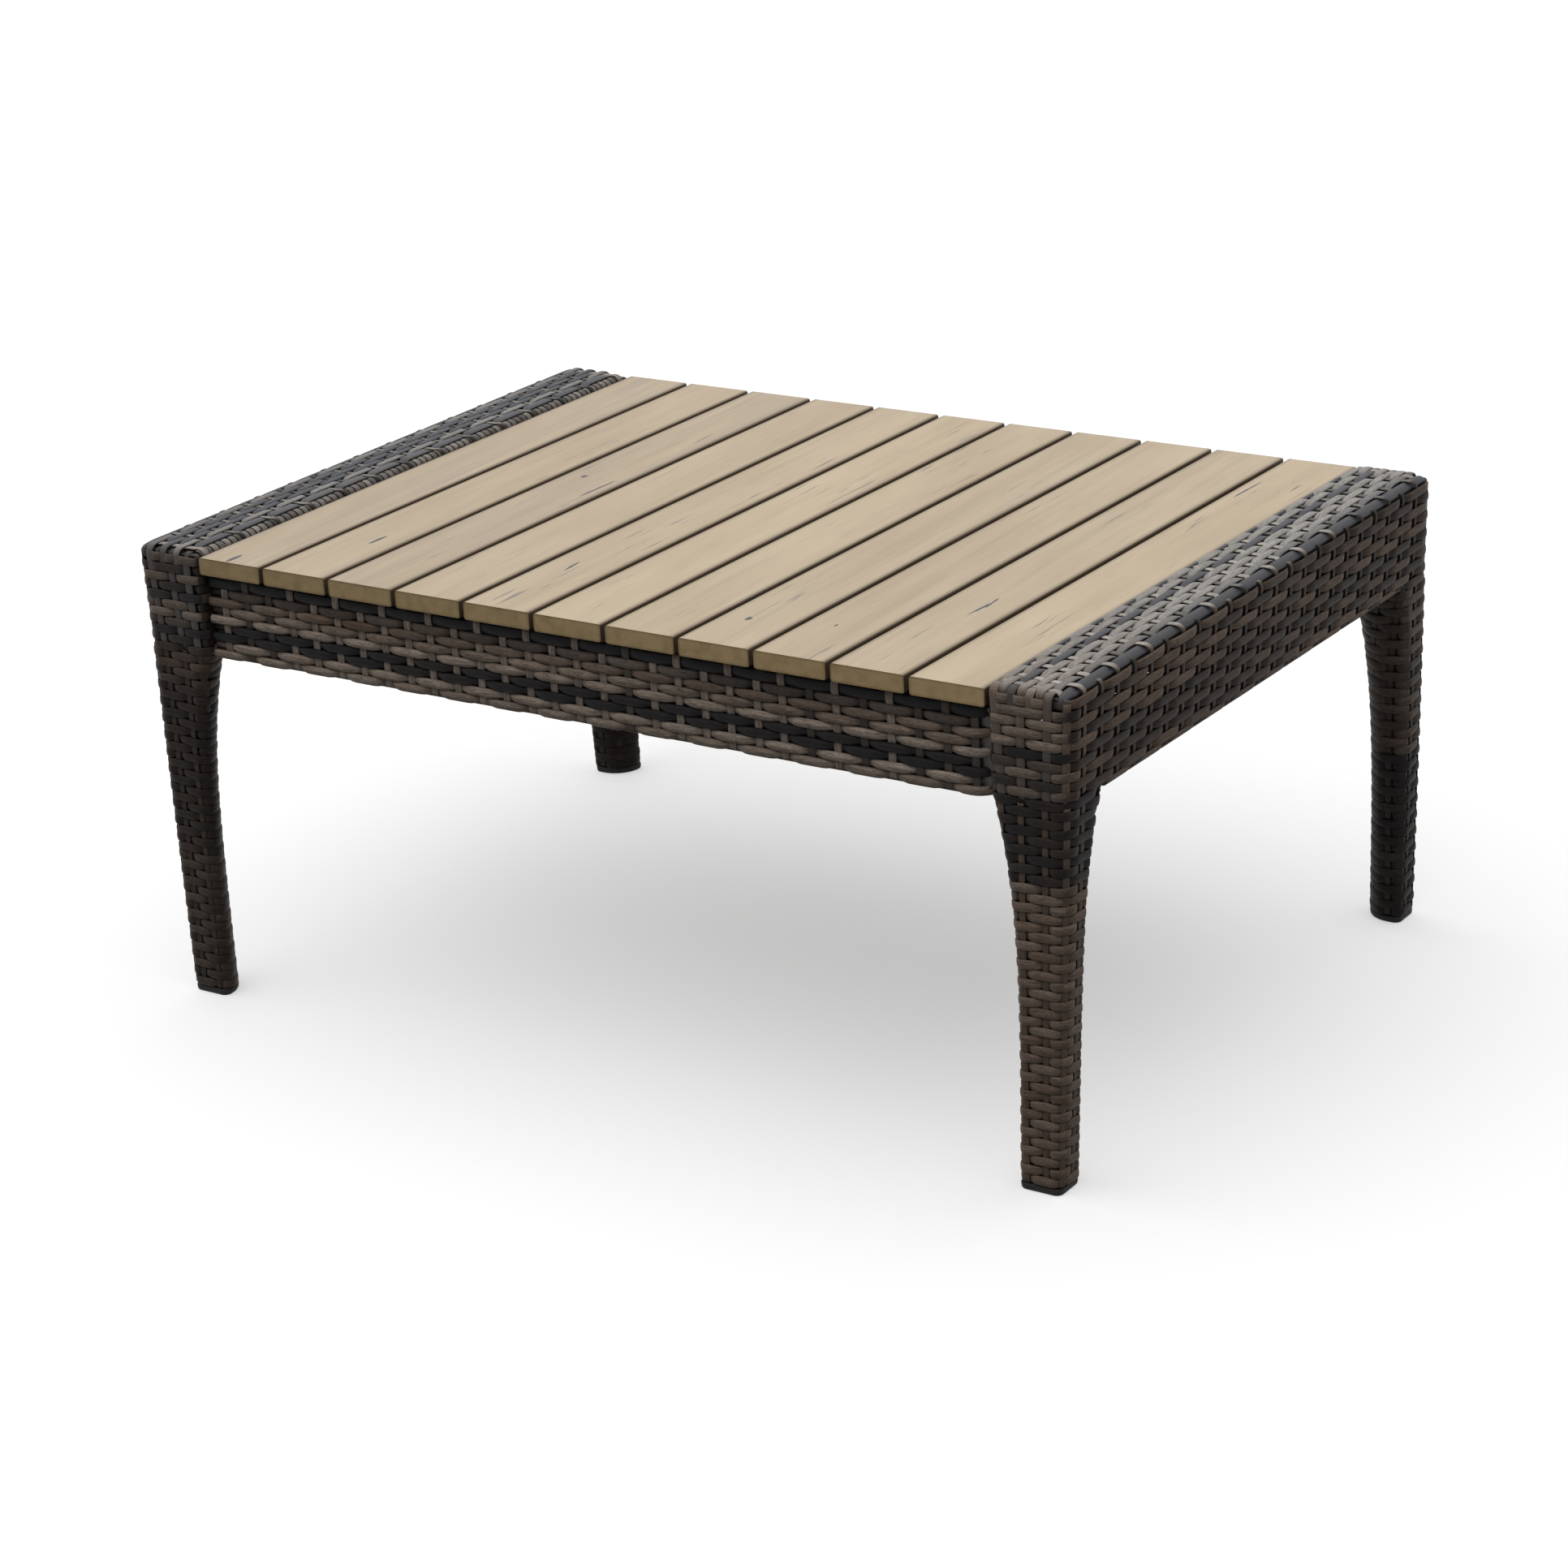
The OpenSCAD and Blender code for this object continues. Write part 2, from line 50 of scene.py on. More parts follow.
class Wire:
    """An output socket in one finish. Arithmetic on it adds Math nodes to that finish."""

    def __init__(self, material, socket=None):
        self.material = material
        self.socket = socket

    def add(self, kind, settings, sockets, output=0):
        """Adds a node, sets its settings and then its sockets, and returns one of its outputs."""
        tree = self.material.node_tree
        made = tree.nodes.new(kind)
        for name, value in settings.items():
            setattr(made, name, value)
        for name, value in sockets.items():
            if isinstance(value, Wire):
                tree.links.new(value.socket, made.inputs[name])
            else:
                made.inputs[name].default_value = value
        return Wire(self.material, made.outputs[output])

    def reckon(self, operation, first, second):
        return self.add("ShaderNodeMath", {"operation": operation}, {0: first, 1: second})

    def __add__(self, other):
        return self.reckon("ADD", self, other)

    __radd__ = __add__

    def __sub__(self, other):
        return self.reckon("SUBTRACT", self, other)

    def __rsub__(self, other):
        return self.reckon("SUBTRACT", other, self)

    def __mul__(self, other):
        return self.reckon("MULTIPLY", self, other)

    __rmul__ = __mul__

    def __truediv__(self, other):
        return self.reckon("DIVIDE", self, other)

    def size(self):
        return self.reckon("ABSOLUTE", self, 0.0)

    def wave(self):
        return self.reckon("SINE", self, 0.0)

    def rise(self, low, high):
        """0 below low, 1 above high and a smooth step between them; it falls if high is below low."""
        settings = {"interpolation_type": "SMOOTHSTEP"}
        return self.add("ShaderNodeMapRange", settings, {"Value": self, "From Min": low, "From Max": high})

    def blend(self, first, second):
        """A colour between first, where this value is 0, and second, where it is 1."""
        settings = {"data_type": "RGBA"}
        return self.add("ShaderNodeMix", settings, {0: self, 6: first, 7: second}, 2)

    def lit(self, amount):
        """This colour or vector, made stronger or weaker."""
        return self.add("ShaderNodeVectorMath", {"operation": "SCALE"}, {0: self, "Scale": amount})

    def spread(self, stretch):
        """This vector, stretched differently along each axis."""
        return self.add("ShaderNodeVectorMath", {"operation": "MULTIPLY"}, {0: self, 1: stretch})

    def shift(self, offset):
        """This vector, moved by another one."""
        return self.add("ShaderNodeVectorMath", {"operation": "ADD"}, {0: self, 1: offset})

    def grain(self, scale, detail=2.0, roughness=0.5):
        """Noise from 0 to 1 over this vector."""
        sockets = {"Vector": self, "Scale": scale, "Detail": detail, "Roughness": roughness}
        return self.add("ShaderNodeTexNoise", {}, sockets)

    def axis(self, number):
        return self.add("ShaderNodeSeparateXYZ", {}, {0: self}, number)

    def relief(self, depth, strength):
        """A normal from this value as a height."""
        return self.add("ShaderNodeBump", {}, {"Height": self, "Distance": depth, "Strength": strength})

    def dress(self, **sockets):
        """Sets or links the sockets of the finish's shader and returns the finish."""
        tree = self.material.node_tree
        shader = tree.nodes["Principled BSDF"]
        for name, value in sockets.items():
            target = shader.inputs[name.replace("_", " ")]
            if isinstance(value, Wire):
                tree.links.new(value.socket, target)
            else:
                target.default_value = value
        return self.material


def new_finish(name):
    material = bpy.data.materials.new(name)
    material.use_nodes = True
    return Wire(material)


def colour(red, green, blue):
    """A shader colour from red, green and blue as a screen shows them, 0 to 255."""
    screen = np.array([red, green, blue]) / 255
    return (*np.where(screen <= 0.04045, screen / 12.92, ((screen + 0.055) / 1.055) ** 2.4).tolist(), 1.0)


def place_in_frame(start):
    return start.add("ShaderNodeTexCoord", {}, {}, "Object")


def coated(name, tones, closeness, mottle, roughness, relief, metallic=0.0):
    """A coat on metal between two tones. closeness is how quickly they change along each axis, mottle where
    in the noise, roughness a base and a gain, relief the scale, detail, depth and strength of its texture."""
    start = new_finish(name)
    place = place_in_frame(start)
    cloud = place.spread(closeness).grain(1.0, 3.0)
    scale, detail, depth, strength = relief
    return start.dress(
        Base_Color=cloud.rise(*mottle).blend(*tones),
        Roughness=roughness[0] + cloud * roughness[1],
        Metallic=metallic,
        Normal=place.grain(scale, detail).relief(depth, strength),
    )


def give_finish(material, names):
    for name in names:
        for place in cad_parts[name].material_slots:
            place.material = material


TUBES = ("_rail", "_post", "_posts", "cross_tubes", "_tube")
TUBES += ("slat_carrier_front", "slat_carrier_middle", "slat_carrier_rear")
POWDER_COAT = coated(
    "dark brown powder coat",
    tones=(colour(34, 30, 28), colour(48, 42, 38)),
    closeness=(35.0, 35.0, 35.0),
    mottle=(0.35, 0.75),
    roughness=(0.46, 0.16),
    relief=(900.0, 2.0, 0.0002, 0.25),
)
give_finish(POWDER_COAT, [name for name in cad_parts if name.endswith(TUBES)])


# Gussets and brackets
# Plates of 3 mm steel, cut and folded: gussets that hold the flare of the legs, corner brackets behind the
# aprons and brackets under the carriers' ends. They are dipped in a satin black paint.
PLATES = ("_gussets", "carrier_brackets", "corner_brackets")
SATIN_PAINT = coated(
    "satin black paint",
    tones=(colour(26, 25, 25), colour(41, 39, 38)),
    closeness=(60.0, 60.0, 14.0),
    mottle=(0.3, 0.8),
    roughness=(0.36, 0.2),
    relief=(1400.0, 1.0, 0.0001, 0.2),
)
give_finish(SATIN_PAINT, [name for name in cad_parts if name.endswith(PLATES)])


# Bolts, rivet nuts and screws
# Zinc plated steel fasteners: the bolts turn into rivet nuts in the tubes, and the screws go up through
# the carriers into the slats. The plating is finely speckled.
ZINC_PLATE = coated(
    "zinc plated steel",
    tones=(colour(150, 151, 150), colour(196, 195, 190)),
    closeness=(260.0, 260.0, 260.0),
    mottle=(0.3, 0.75),
    roughness=(0.3, 0.25),
    relief=(2600.0, 1.0, 0.00005, 0.2),
    metallic=1.0,
)
give_finish(ZINC_PLATE, ["bracket_bolts", "rivet_nuts", "slat_screws"])


# Woven skin of the side rails
# Flat polyethylene cane, woven by hand over the welded frame: rows run round each rail, one over and one
# under flat stakes that wrap its section, and stouter lengthwise canes close its top.

RAIL_TOP = 408 * MM
RAIL_LOW = 320 * MM
RAIL_IN = 384 * MM
RAIL_END = 313 * MM
HALF_WIDTH = 455 * MM
SIDE_LEAN = 17 * MM
RAIL_EDGE = 8 * MM
OUTER_CORNER = 13 * MM
INNER_CORNER = 6 * MM
LOW_CORNER = 3 * MM
# The middle of the weave lies this far under the outside of the skin
WEAVE_DEPTH = 1.8 * MM
# How finely canes and outlines are drawn
CANE_STEP = 3.7 * MM
TURN_STEP = math.radians(17)
CORNER_POINTS = 9
WHERE_TRIES = 4000
# Triples of values are a mean, how much it changes along a cane and how far apart its turns lie; pairs that
# are called CHANGE have no mean
# The rows lie a little further apart towards the top, and stray up and down
LOWEST_ROW = 327.2 * MM
ROW_PITCH = 7.55 * MM
ROW_GAIN = 0.05 * MM
RAIL_ROWS = LOWEST_ROW + ROW_PITCH * np.arange(10) + ROW_GAIN * np.arange(10) ** 2
ROW_STRAY = (0.0, 0.3 * MM, 70 * MM)
ROW_RISE = 1.35 * MM
# Half width and half thickness of a cane halfway through the weave, and what each gains on top of a stake
ROW_WIDE = (3.55 * MM, 0.45 * MM)
ROW_THICK = (1.2 * MM, 0.35 * MM)
# Half width of rows on faces that look inwards, which lie close together
SNUG_ROW = 4.2 * MM
# How dark the rows are, from the lowest, along the walls and on the end faces, where they change less
WALL_TONES = (0.55, 0.8, 0.58, 0.68, 0.88, 0.42, 0.58, 0.36, 0.82, 0.52)
END_TONES = {
    "right": (0.48, 0.94, 0.5, 0.76, 0.88, 0.2, 0.14, 0.2, 0.34, 0.32),
    "left": (0.94, 0.92, 0.68, 0.4, 0.54, 0.94, 0.92, 0.4, 0.68, 0.52),
}
ROW_CHANGE = (0.0, 0.42, 140 * MM)
ROW_FINE_CHANGE = (0.0, 0.1, 50 * MM)
END_STEADY = 0.6
# Rows on the inner wall are darkened by this much: painted shade on the inward faces
INNER_PAINTED_SHADE = 0.3
# How warm the rows are, and how much cooler on the end faces, all of them and the dark ones
ROW_WARMTH = (0.95, 0.1, 90 * MM)
END_COOL = 0.25
END_DARK_COOL = 0.5
# A thin hem closes the foot of each wall, and wide canes the underside; they end where the legs begin, and
# stakes that come closer to that than this don't go round the underside
LEG_ROOM = 57 * MM
STAKE_ROOM = 2 * MM
HEM_Z = 322 * MM
HEM_HALF = (2.3 * MM, 0.9 * MM)
HEM_TONE = (0.45, 0.2, 120 * MM)
HEM_WARMTH = 0.8
UNDER_CANES = np.arange(8)
UNDER_TONE = (0.3, 0.2, 100 * MM)
UNDER_WARMTH = 0.6
STAKE_RISE = 0.75 * MM
STAKE_HALF = (3.3 * MM, 0.75 * MM)
STAKE_STRAY = 0.6 * MM
# On the walls the stakes are narrower by this much on either side, and on the top by a share of it
WALL_STAKE_LESS = 0.9 * MM
TOP_STAKE_LESS = {"right": 0.0, "left": 0.9}
SIDE_STAKES = {"right": np.linspace(-284, 284, 23) * MM, "left": np.linspace(-274, 278, 25) * MM}
# How far a stake's inner end lies behind its outer end
STAKE_SLANT = {"right": 9 * MM, "left": 0.0}
# How dark the lighter and the darker stakes are, the share of darker ones, and what it gains to the back
STAKE_TONES = {"right": (0.03, 0.62), "left": (0.46, 0.68)}
DARK_SHARE = 0.4
DARK_GAIN = 0.42
STAKE_CHANGE = (0.1, 60 * MM)
# How much painted shade darkens the stakes on the walls, where they lie in shadow, the first one less so, and
# how warm they are
WALL_STAKE_SHADE = 0.62
FIRST_STAKE_SHADE = 0.2
STAKE_WARMTH = 0.05
WALL_WARMER = 0.9
# A last stake lies across the top close behind either end; where it starts, how dark and how warm it is
END_CROSS = 300 * MM
CROSS_START = 4 * MM
CROSS_TONE = 0.12
CROSS_WARMTH = 0.3
# A stake stands in each outer corner, up to this far under the top
CORNER_STAKE_LESS = 7 * MM
CORNER_STAKE_POINTS = 26
CORNER_STAKE_TONE = 0.3
CORNER_STAKE_CHANGE = 0.15
# The lengthwise canes of the top: distances from the outer edge, and how dark each is
TOP_CANES = {
    "right": 19.0 * MM + 7.75 * MM * np.arange(7),
    "left": np.append(15.5 * MM + 7.5 * MM * np.arange(5), 56.0 * MM),
}
TOP_TONES = {
    "right": (0.5, 0.18, 0.1, 0.12, 0.88, 0.18, 0.24),
    "left": (0.48, 0.94, 0.88, 0.94, 0.34, 0.76),
}
TOP_CHANGE = (0.08, 80 * MM)
# How much painted shade darkens the top canes where they lie deep in the weave
TOP_RECESS_SHADE = 0.25
# The top canes are kept cool: painted sky sheen
TOP_WARMTH = (0.08, 0.1, 90 * MM)
TOP_STRAY = (0.0, 0.4 * MM, 60 * MM)
TOP_WIDE = {"right": (3.65 * MM, 0.25 * MM), "left": (2.75 * MM, 0.85 * MM)}
TOP_THICK = (1.05 * MM, 0.3 * MM)
TOP_RISE = 1.25 * MM
# For what shares of its way a top cane stays up and down
TOP_HOLD = {"right": (0.48, 0.03), "left": (0.66, 0.1)}
# How much painted shade darkens the top canes below this height, where they dip under a stake
TOP_SHADE = {"right": 0.1, "left": 0.85}
SHADE_HEIGHT = 0.5
# How brown the top canes turn towards the front, from this far before the middle
FRONT_BROWN = {"right": 0.45, "left": 0.08}
FRONT_START = 60 * MM
# Where the top canes fold down the end faces they are more even, darker, warmer and flatter, and they darken
# once more lower down, from this far under the top and over this stretch
FOLD_EVEN = 0.4
FOLD_DARKER = 0.3
FOLD_WARMER = 0.7
FOLD_THIN = 0.25
LOWER_DARKER = 0.3
LOWER_START = 8 * MM
LOWER_REACH = 30 * MM
# Some top canes run on down the end faces as stakes; their distances from the outer edge down there
LONG_CANES = {"right": {0: 19 * MM, 3: 40 * MM, 6: 57 * MM}, "left": {0: 19 * MM, 3: 40 * MM, 5: 57 * MM}}
LONG_TAIL = 1 * MM
SHORT_TAIL = 3 * MM
TAIL_SINK = -1.2
# On the left rail the last top cane is a broad ribbon, with ribs along the inner edge
RIBBON_EXTRA = 1.9 * MM
RIBBON_FOLD = 0.7
RIBBON_SINK = -1.9
RIB_START = 62 * MM
RIB_DEPTH = 20 * MM
RIB_PITCH = 7.9 * MM
RIB_ROOM = 12 * MM
RIB_TONE = 0.3
RIB_CHANGE = 0.35
RIB_WARMTH = 0.25
# On the left rail the stakes pass alike over the top row and the edge cane
EDGE_SKIP = {"right": 0, "left": 1}
# The edge canes: distance from the outer face, depth, tilt, half width, half thickness, fold, rise and taper
RIGHT_EDGES = (
    (8.8 * MM, 3.3 * MM, 0.34, 5.3 * MM, 2.5 * MM, 7.5 * MM, 0.2 * MM, 0.6),
    (68.6 * MM, 2.6 * MM, -0.35, 3.6 * MM, 1.5 * MM, 14 * MM, 0.6 * MM, 0.1),
)
LEFT_EDGES = ((7.6 * MM, 2.9 * MM, 0.34, 4.6 * MM, 2.0 * MM, 7.5 * MM, 0.2 * MM, 0.5),)
EDGE_TONE = (0.97, 0.1, 90 * MM)
EDGE_WARMTH = 0.2
EDGE_SINK = -3.0
EDGE_TAPER = 12 * MM
EDGE_BELLY = 0.4
# How far a stake rises over the outer edge cane to tie it, and sinks to pass under it, in rises of a stake
TIE_RISE = {"right": 2.8, "left": 0.9}
TIE_SINK = -4.6

# How far a direction has to go some way to count as facing it
FACING = 0.5

chance = np.random.default_rng(41)


def unit(vectors):
    return vectors / np.maximum(np.linalg.norm(vectors, axis=-1, keepdims=True), 1e-12)


def in_space(x, y, z):
    """Points or directions from coordinates, some of which may be the same for all."""
    return np.stack(np.broadcast_arrays(x, y, z), 1)


class Outline:
    """The outline of a rounded box section, from the middle of its first corner round, drawn in by inset."""

    def __init__(self, width, depth, radii, inset):
        corner = np.radians(np.linspace(0, 90, CORNER_POINTS))
        first, second, third, fourth = radii
        middles = [(first, first), (width - second, second)]
        middles += [(width - third, depth - third), (fourth, depth - fourth)]
        points = []
        normals = []
        for middle, radius, start in zip(middles, radii, (180, 270, 0, 90)):
            turned = corner + math.radians(start)
            ways = np.stack([np.cos(turned), np.sin(turned)], 1)
            points.append(np.array(middle) + (radius - inset) * ways)
            normals.append(ways)
        half_corner = len(corner) // 2
        points = np.roll(np.concatenate(points), -half_corner, 0)
        normals = np.roll(np.concatenate(normals), -half_corner, 0)
        self.points = np.concatenate([points, points[:1]])
        self.normals = np.concatenate([normals, normals[:1]])
        steps = np.linalg.norm(np.diff(self.points, axis=0), axis=1)
        bends = np.arccos(np.clip((self.normals[1:] * self.normals[:-1]).sum(1), -1, 1))
        self.run = np.concatenate([[0], np.cumsum(steps)])
        self.effort = np.concatenate([[0], np.cumsum(steps / CANE_STEP + bends / TURN_STEP)])
        self.length = self.run[-1]

    def at(self, run):
        """Points and outward normals at distances round the outline."""
        run = np.mod(run, self.length)
        point = np.stack([np.interp(run, self.run, self.points[:, k]) for k in (0, 1)], 1)
        normal = np.stack([np.interp(run, self.run, self.normals[:, k]) for k in (0, 1)], 1)
        return point, unit(normal)

    def stations(self, start=0.0, end=None):
        """Distances from start to end, closer together where the outline turns."""
        turns = self.length * np.arange(-1, 3)
        run = np.concatenate([self.run[:-1] + turn for turn in turns])
        effort = np.concatenate([self.effort[:-1] + self.effort[-1] * k for k in range(-1, 3)])
        if end is None:
            count = math.ceil(self.effort[-1])
            return np.interp(np.linspace(0, self.effort[-1], count, endpoint=False), effort, run)
        first, last = np.interp((start, end), run, effort)
        return np.interp(np.linspace(first, last, math.ceil(last - first) + 1), effort, run)

    def where(self, first, second):
        """The distance round the outline that lies nearest to a point of the section."""
        tries = np.linspace(0, self.length, WHERE_TRIES, endpoint=False)
        gaps = np.linalg.norm(self.at(tries)[0] - (first, second), axis=1)
        return tries[np.argmin(gaps)]


def even(number):
    """1 for even and -1 for odd numbers, which is how a weave goes over and under."""
    return 1.0 if number % 2 == 0 else -1.0


def over_and_under(run, crossings, signs, up=0.48, down=0.03):
    """Height from -1 to 1 of a cane that passes over (1) or under (-1) what it crosses. It stays up and down
    for these shares of its way."""
    order = np.argsort(crossings)
    at = np.asarray(crossings, float)[order]
    high = np.asarray(signs, float)[order]
    k = np.clip(np.searchsorted(at, run) - 1, 0, len(at) - 2)
    way = np.clip((run - at[k]) / np.maximum(at[k + 1] - at[k], 1e-9), 0, 1)
    leave = np.where(high[k] > 0, up, down)
    reach = np.where(high[k + 1] > 0, up, down)
    way = np.clip((way - leave) / (1 - leave - reach), 0, 1)
    return high[k] + (high[k + 1] - high[k]) * way * way * (3 - 2 * way)


def round_and_round(run, crossings, signs, length):
    """The same for a closed row of that length."""
    at = np.concatenate([np.asarray(crossings) + length * turn for turn in (-1, 0, 1)])
    return over_and_under(run, at, np.tile(signs, 3))


def lifted(path, out, rise):
    """A path, moved along its outward directions."""
    return path + out * rise[:, None]


def plump(height, wide, thick):
    """Half width and half thickness of a cane, fuller where it lies over a stake."""
    return wide[0] + wide[1] * height, thick[0] + thick[1] * height


# How closely a row keeps to the frame round its first corner and round the others, and how high it lies there
FIRST_HOLD = 0.55
CORNER_HOLD = 0.85
CORNER_HEIGHT = 0.3


def pull_tight(height, normal, run, length):
    """Keeps a row close to the frame where it turns a corner, less so at the first one, which has a stake."""
    corner = np.abs(2 * normal[:, 0] * normal[:, 1])
    first = np.minimum(run, length - run) < OUTER_CORNER
    hold = corner * np.where(first, FIRST_HOLD, CORNER_HOLD)
    return height * (1 - hold) + CORNER_HEIGHT * hold


def painted_recess_shade(height, depth=0.42):
    """Painted shade: how much darker a cane is coloured where it lies deep in the weave, where shade falls
    between its raised neighbours.
    """
    return depth * np.clip(-height, 0, 1)


def drift(run, reach):
    """A slow random change between -1 and 1 along a cane, with knots about reach apart."""
    span = run.max() - run.min()
    knots = max(int(span / reach) + 3, 4)
    values = chance.uniform(-1, 1, knots)
    way = (run - run.min()) / max(span, 1e-9) * (knots - 2)
    k = np.floor(way).astype(int)
    part = way - k
    part = part * part * (3 - 2 * part)
    return values[k] * (1 - part) + values[k + 1] * part


def varied(run, mean, change, reach):
    """A value that drifts along a cane, by up to change from its mean."""
    return mean + change * drift(run, reach)


def stand_for(node, name, mesh):
    """Puts a mesh into the scene in place of a CAD node."""
    made = bpy.data.objects.new(name, mesh)
    bpy.context.scene.collection.objects.link(made)
    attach(made, "root")
    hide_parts(node)


# Angles round a cane at which its section has corners, closer together on its face, and how square it is
ROUND_SIDE = np.radians([0, 26, 52, 90, 128, 154, 180, 222, 270, 318])
SECTION_SQUARE = 0.75
# How the canes are laid flat: a cane's girth in steps, margin and fill of a strip, and the room at the top
STRIP_GIRTH = 5
STRIP_MARGIN = 0.06
STRIP_FILL = 0.88
ENDS_ROOM = 0.5


class Weave:
    """Gathers the canes of one woven piece into one mesh."""

    def __init__(self):
        self.points = []
        self.quads = []
        self.ends = []
        self.lengthwise = []
        self.tints = []
        self.kinds = []
        self.count = 0

    def lay(self, path, out, half, dark, warm, closed=False, kind=0, crown=0.84, belly=1.0, shade=1.0):
        """Adds a cane along path with its face along out. half holds its half width and half thickness,
        crown how round its face is, belly how full its back is, and shade the share of its colour kept under
        painted shade."""
        n = len(path)
        m = len(ROUND_SIDE)
        ahead = np.roll(path, -1, 0)
        behind = np.roll(path, 1, 0)
        if not closed:
            ahead[-1] = path[-1]
            behind[0] = path[0]
        along = unit(ahead - behind)
        side = unit(np.cross(along, out))
        face = np.cross(side, along)
        across = np.sign(np.cos(ROUND_SIDE)) * np.abs(np.cos(ROUND_SIDE)) ** SECTION_SQUARE
        height = np.sign(np.sin(ROUND_SIDE)) * np.abs(np.sin(ROUND_SIDE)) ** crown
        height = np.where(height < 0, belly * height, height)
        wide = np.broadcast_to(half[0], (n,))[:, None, None]
        thick = np.broadcast_to(half[1], (n,))[:, None, None]
        rings = path[:, None] + side[:, None] * across[None, :, None] * wide
        rings = rings + face[:, None] * height[None, :, None] * thick
        i = np.arange(n if closed else n - 1)[:, None]
        j = np.arange(m)[None, :]
        after = (i + 1) % n
        turn = (j + 1) % m
        quads = np.stack([i * m + j, after * m + j, after * m + turn, i * m + turn], -1).reshape(-1, 4)
        steps = np.linalg.norm(ahead - path, axis=1)
        run = chance.uniform(0, 5) + np.concatenate([[0], np.cumsum(steps)])
        first, last = run[:-1][: len(i), None], run[1:][: len(i), None]
        low, high = j / m, (j + 1) / m
        corners = [(first, low), (last, low), (last, high), (first, high)]
        corners = [np.stack(np.broadcast_arrays(u, v), -1) for u, v in corners]
        self.points.append(rings.reshape(-1, 3))
        self.quads.append(quads + self.count)
        self.lengthwise.append(np.stack(corners, 2).reshape(-1, 4, 2))
        self.kinds.append(np.full(len(quads), kind))
        if not closed:
            self.ends.append(self.count + np.arange(m))
            self.ends.append(self.count + (n - 1) * m + np.arange(m)[::-1])
        tint = np.ones((n, 4))
        tint[:, 0] = np.clip(dark, 0, 1)
        tint[:, 1] = np.clip(warm, 0, 1)
        tint[:, 2] = chance.uniform(0, 1)
        # The tint's alpha carries painted shade, which darkens the cane's colour
        tint[:, 3] = shade
        self.tints.append(np.repeat(tint, m, 0))
        self.count += n * m

    def piece(self, name, node, finishes):
        """Makes the mesh, which stands for a CAD node."""
        m = len(ROUND_SIDE)
        quads = np.concatenate(self.quads)
        mesh = bpy.data.meshes.new(name)
        faces = quads.tolist() + [end.tolist() for end in self.ends]
        mesh.from_pydata(np.concatenate(self.points).tolist(), [], faces)
        end_room = np.zeros((len(self.ends) * m, 2))
        lengthwise = mesh.uv_layers.new(name="lengthwise")
        flat = np.concatenate([np.concatenate(self.lengthwise).reshape(-1, 2), end_room])
        lengthwise.uv.foreach_set("vector", flat.ravel())
        bake = mesh.uv_layers.new(name="OFBake")
        bake.uv.foreach_set("vector", np.concatenate([self.strips(len(quads)), self.end_strips()]).ravel())
        mesh.uv_layers.active = lengthwise
        tints = mesh.color_attributes.new("cane_tint", "FLOAT_COLOR", "POINT")
        tints.data.foreach_set("color", np.concatenate(self.tints).ravel())
        for finish in finishes:
            mesh.materials.append(finish)
        kinds = np.concatenate([*self.kinds, np.zeros(len(self.ends), int)])
        mesh.polygons.foreach_set("material_index", kinds)
        mesh.shade_smooth()
        stand_for(node, name, mesh)

    def strips(self, count):
        """Lays every cane flat in rows of strips that fill the unit square without overlap."""
        m = len(ROUND_SIDE)
        lengths = count // m
        self.columns = max(int(math.sqrt(lengths * STRIP_GIRTH)), 4)
        self.rows = lengths // self.columns + 1
        k = np.arange(lengths)[:, None]
        j = np.arange(m)[None, :]
        left = (k % self.columns) / self.columns + 0 * j
        right = left + 1 / self.columns
        low = (k // self.columns + STRIP_MARGIN + STRIP_FILL * j / m) / (self.rows + ENDS_ROOM)
        high = low + STRIP_FILL / m / (self.rows + ENDS_ROOM)
        corners = [(left, low), (right, low), (right, high), (left, high)]
        return np.stack([np.stack(pair, -1) for pair in corners], 2).reshape(-1, 2)

    def end_strips(self):
        """Room for the cut ends in what the strips leave along the top."""
        ring = np.stack([np.cos(ROUND_SIDE), np.sin(ROUND_SIDE)], 1)
        room = 0.2 / (self.rows + ENDS_ROOM)
        ends = len(self.ends)
        middles = np.stack([(np.arange(ends) + 0.5) / max(ends, 1), np.full(ends, 1 - room)], 1)
        size = np.array([0.4 / max(ends, 1), 0.8 * room])
        return (middles[:, None] + ring[None] * size).reshape(-1, 2)


# Where a cane's crown lies in its girth, how much painted shade darkens its edges, how many ribs a stake cane
# has round it, and the colour of dark warm cane
CROWN_PLACE = 0.3
EDGE_SHADE = 0.5
RIBS_ROUND = 22
UMBER = colour(46, 35, 26)


